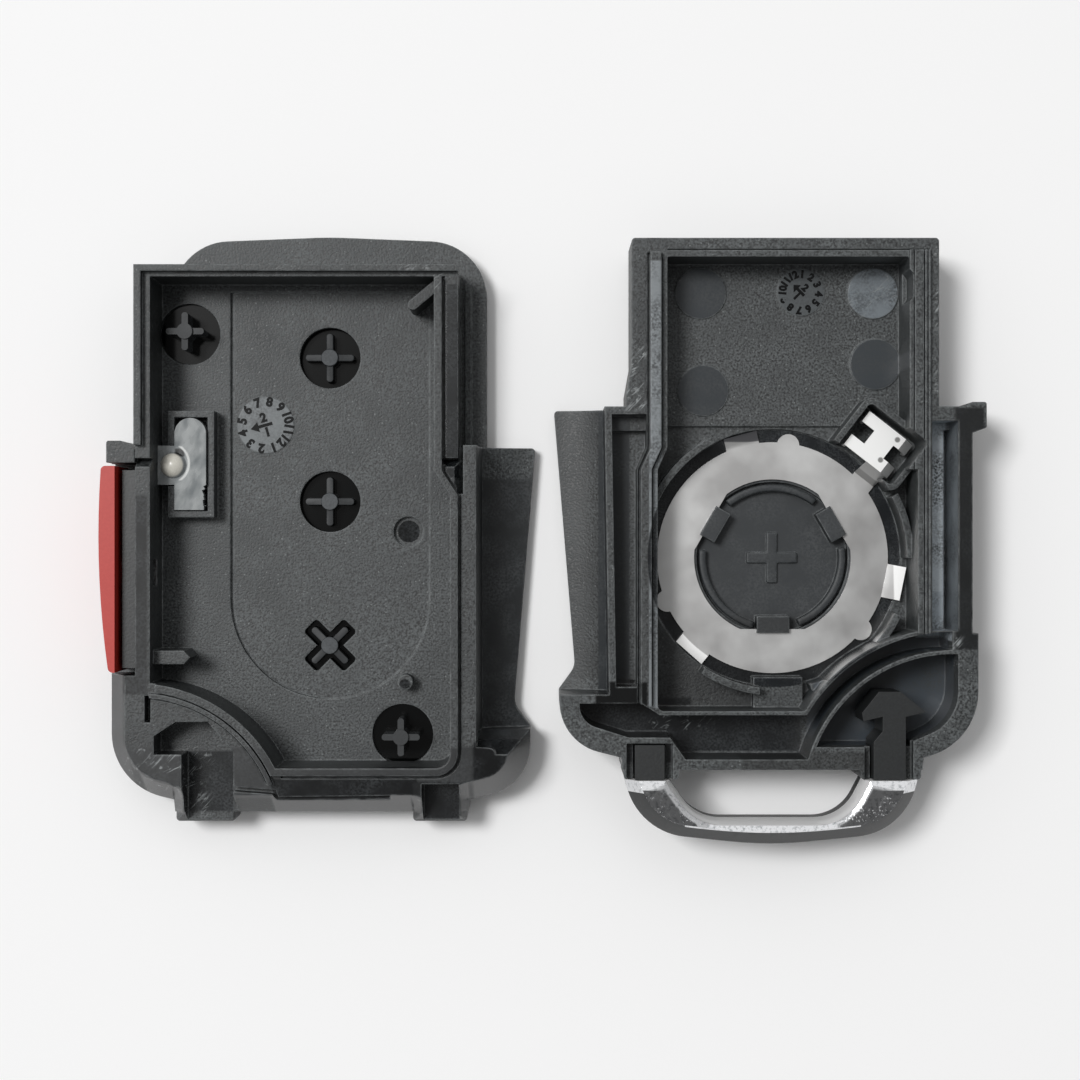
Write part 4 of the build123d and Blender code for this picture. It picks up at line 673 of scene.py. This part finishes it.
# Painted light on the stud tops, painted shade in the button holes
tops = box_zone(tree, place, FRONT_AXIS, (-13, -14, 1.9), (10, 24, 3.0), 0.1)
painted_light_tops = paint(tree, "#24272A", [(grain, "#54585B")])
tone = paint(tree, "#1C1E20", [(grain, "#303335"), (holes, "#030404"), (tops, painted_light_tops)])
rough = add_node(tree, "MapRange", {"Value": dust, "To Min": 0.48, "To Max": 0.62}).outputs["Result"]
rough = add_node(tree, "Mix", {"Factor": holes, "A": rough, "B": 0.12}).outputs["Result"]
relief = add_node(tree, "Mix", {"Factor": holes, "A": grain, "B": 0.5}).outputs["Result"]
close_material(tree, {"Base Color": tone, "Roughness": rough, "IOR": 1.5},
               {"Height": relief, "Strength": 0.35, "Distance": 0.015 * MM})
dress("soft_face", soft_skin)

# Push buttons: three caps of the same black elastomer, moulded on cross-shaped plungers that come up through
# the rings of the tray and press the switches.
for button in ("unlock", "lock", "boot"):
    cap = copy_of(button + "_button", button + "_cap")
    break_edges(cap, 0.08)
    finish_piece(cap, soft_skin, button, button + "_button")

# Carrier of the panic button: a strip moulded in the same matt black polyamide as the loop. It is seated on
# the tall wall, and the button slides in it.
dress("panic_carrier", loop_black)

# Panic button: a bowed cap moulded in red polypropylene, with nine small ribs for the thumb. It is satin, and
# its fine grain is drawn at 0.2 mm so that it shows.
red, tree = new_material("red_polypropylene")
place = add_node(tree, "TexCoord").outputs["Object"]
grain = mottle(tree, place, 0.2 * MM)
close_material(tree, {"Base Color": paint(tree, "#AE281F", [(grain, "#BD392F")]), "Roughness": 0.42,
                      "IOR": 1.49}, {"Height": grain, "Strength": 0.2, "Distance": 0.01 * MM})
panic_cap = copy_of("panic_button", "panic_cap")
break_edges(panic_cap, 0.14)
finish_piece(panic_cap, red, "panic", "panic_button")

# Light guide: clear acrylic that carries the lamp's light from the board to the outer face. It is milky
# inside, with a ball that gathers the light, painted pale as a painted highlight, with a painted bright
# crescent beside it and a painted shadow beside that. The gate side is broken off ragged.
GUIDE_BALL, BALL_RADIUS = (-11.3, 10.35), 0.98
GUIDE_CRESCENT, CRESCENT_OUTSIDE, CRESCENT_INSIDE = (-11.6, 10.5), 1.76, 1.58
NOTCH_X, NOTCH_Z, NOTCH_TALL = -8.62, 4, 12
# Where each notch lies along the gate side, and the side of the square bar that cuts it. No two bars are
# turned alike.
NOTCHES = ((6.95, 0.34), (7.38, 0.46), (7.80, 0.36), (8.22, 0.50), (8.62, 0.30))
guide = copy_of("light_guide", "guide_bar")
for y, side in NOTCHES:
    bpy.ops.mesh.primitive_cube_add(size=side * MM, location=at(FRONT_AXIS, NOTCH_X, y, NOTCH_Z),
                                    rotation=(0, 0, math.radians(38 + 20 * y)))
    notch = bpy.context.object
    bpy.ops.transform.resize(value=(1, 1, NOTCH_TALL))
    notch.select_set(False)
    combine(guide, "DIFFERENCE", notch)
break_edges(guide, 0.08)
acrylic, tree = new_material("clear_acrylic")
place = add_node(tree, "TexCoord").outputs["Object"]
streaks = add_node(tree, "Mapping", vector_type="TEXTURE",
                   sockets={"Vector": place, "Scale": (0.8 * MM, 1.6 * MM, 0.8 * MM),
                            "Rotation": (0, 0, math.radians(-18))})
haze = mottle(tree, streaks.outputs["Vector"], 1.0, 2.0, 0.30, 0.70)
painted_ball_highlight = round_zone(tree, place, FRONT_AXIS, GUIDE_BALL, BALL_RADIUS, 0.12)
crescent_highlight = merge(tree, "SUBTRACT", [round_zone(tree, place, FRONT_AXIS, GUIDE_CRESCENT, radius, 0.08)
                               for radius in (CRESCENT_OUTSIDE, CRESCENT_INSIDE)])
crescent_highlight = merge(tree, "MULTIPLY", [crescent_highlight, box_zone(tree, place, FRONT_AXIS, (-10.75, 9.2, 3), (-9, 11.8, 6), 0.1)])
shadow = box_zone(tree, place, FRONT_AXIS, (-11.0, 11.1, 3), (-10.4, 11.6, 6), 0.15)
# Painted highlight on the ball and the crescent, and a painted shadow beside them
tone = paint(tree, "#83888A", [(haze, "#A3A7A7"), (shadow, "#2A2C2C"), (painted_ball_highlight, "#E6E3D8"), (crescent_highlight, "#E2E4E2")])
rough = add_node(tree, "MapRange", {"Value": haze, "To Min": 0.12, "To Max": 0.35}).outputs["Result"]
close_material(tree, {"Base Color": tone, "Roughness": rough, "IOR": 1.49, "Transmission Weight": 0.20},
               {"Height": haze, "Strength": 0.12, "Distance": 0.04 * MM})
finish_piece(guide, acrylic, node="light_guide")
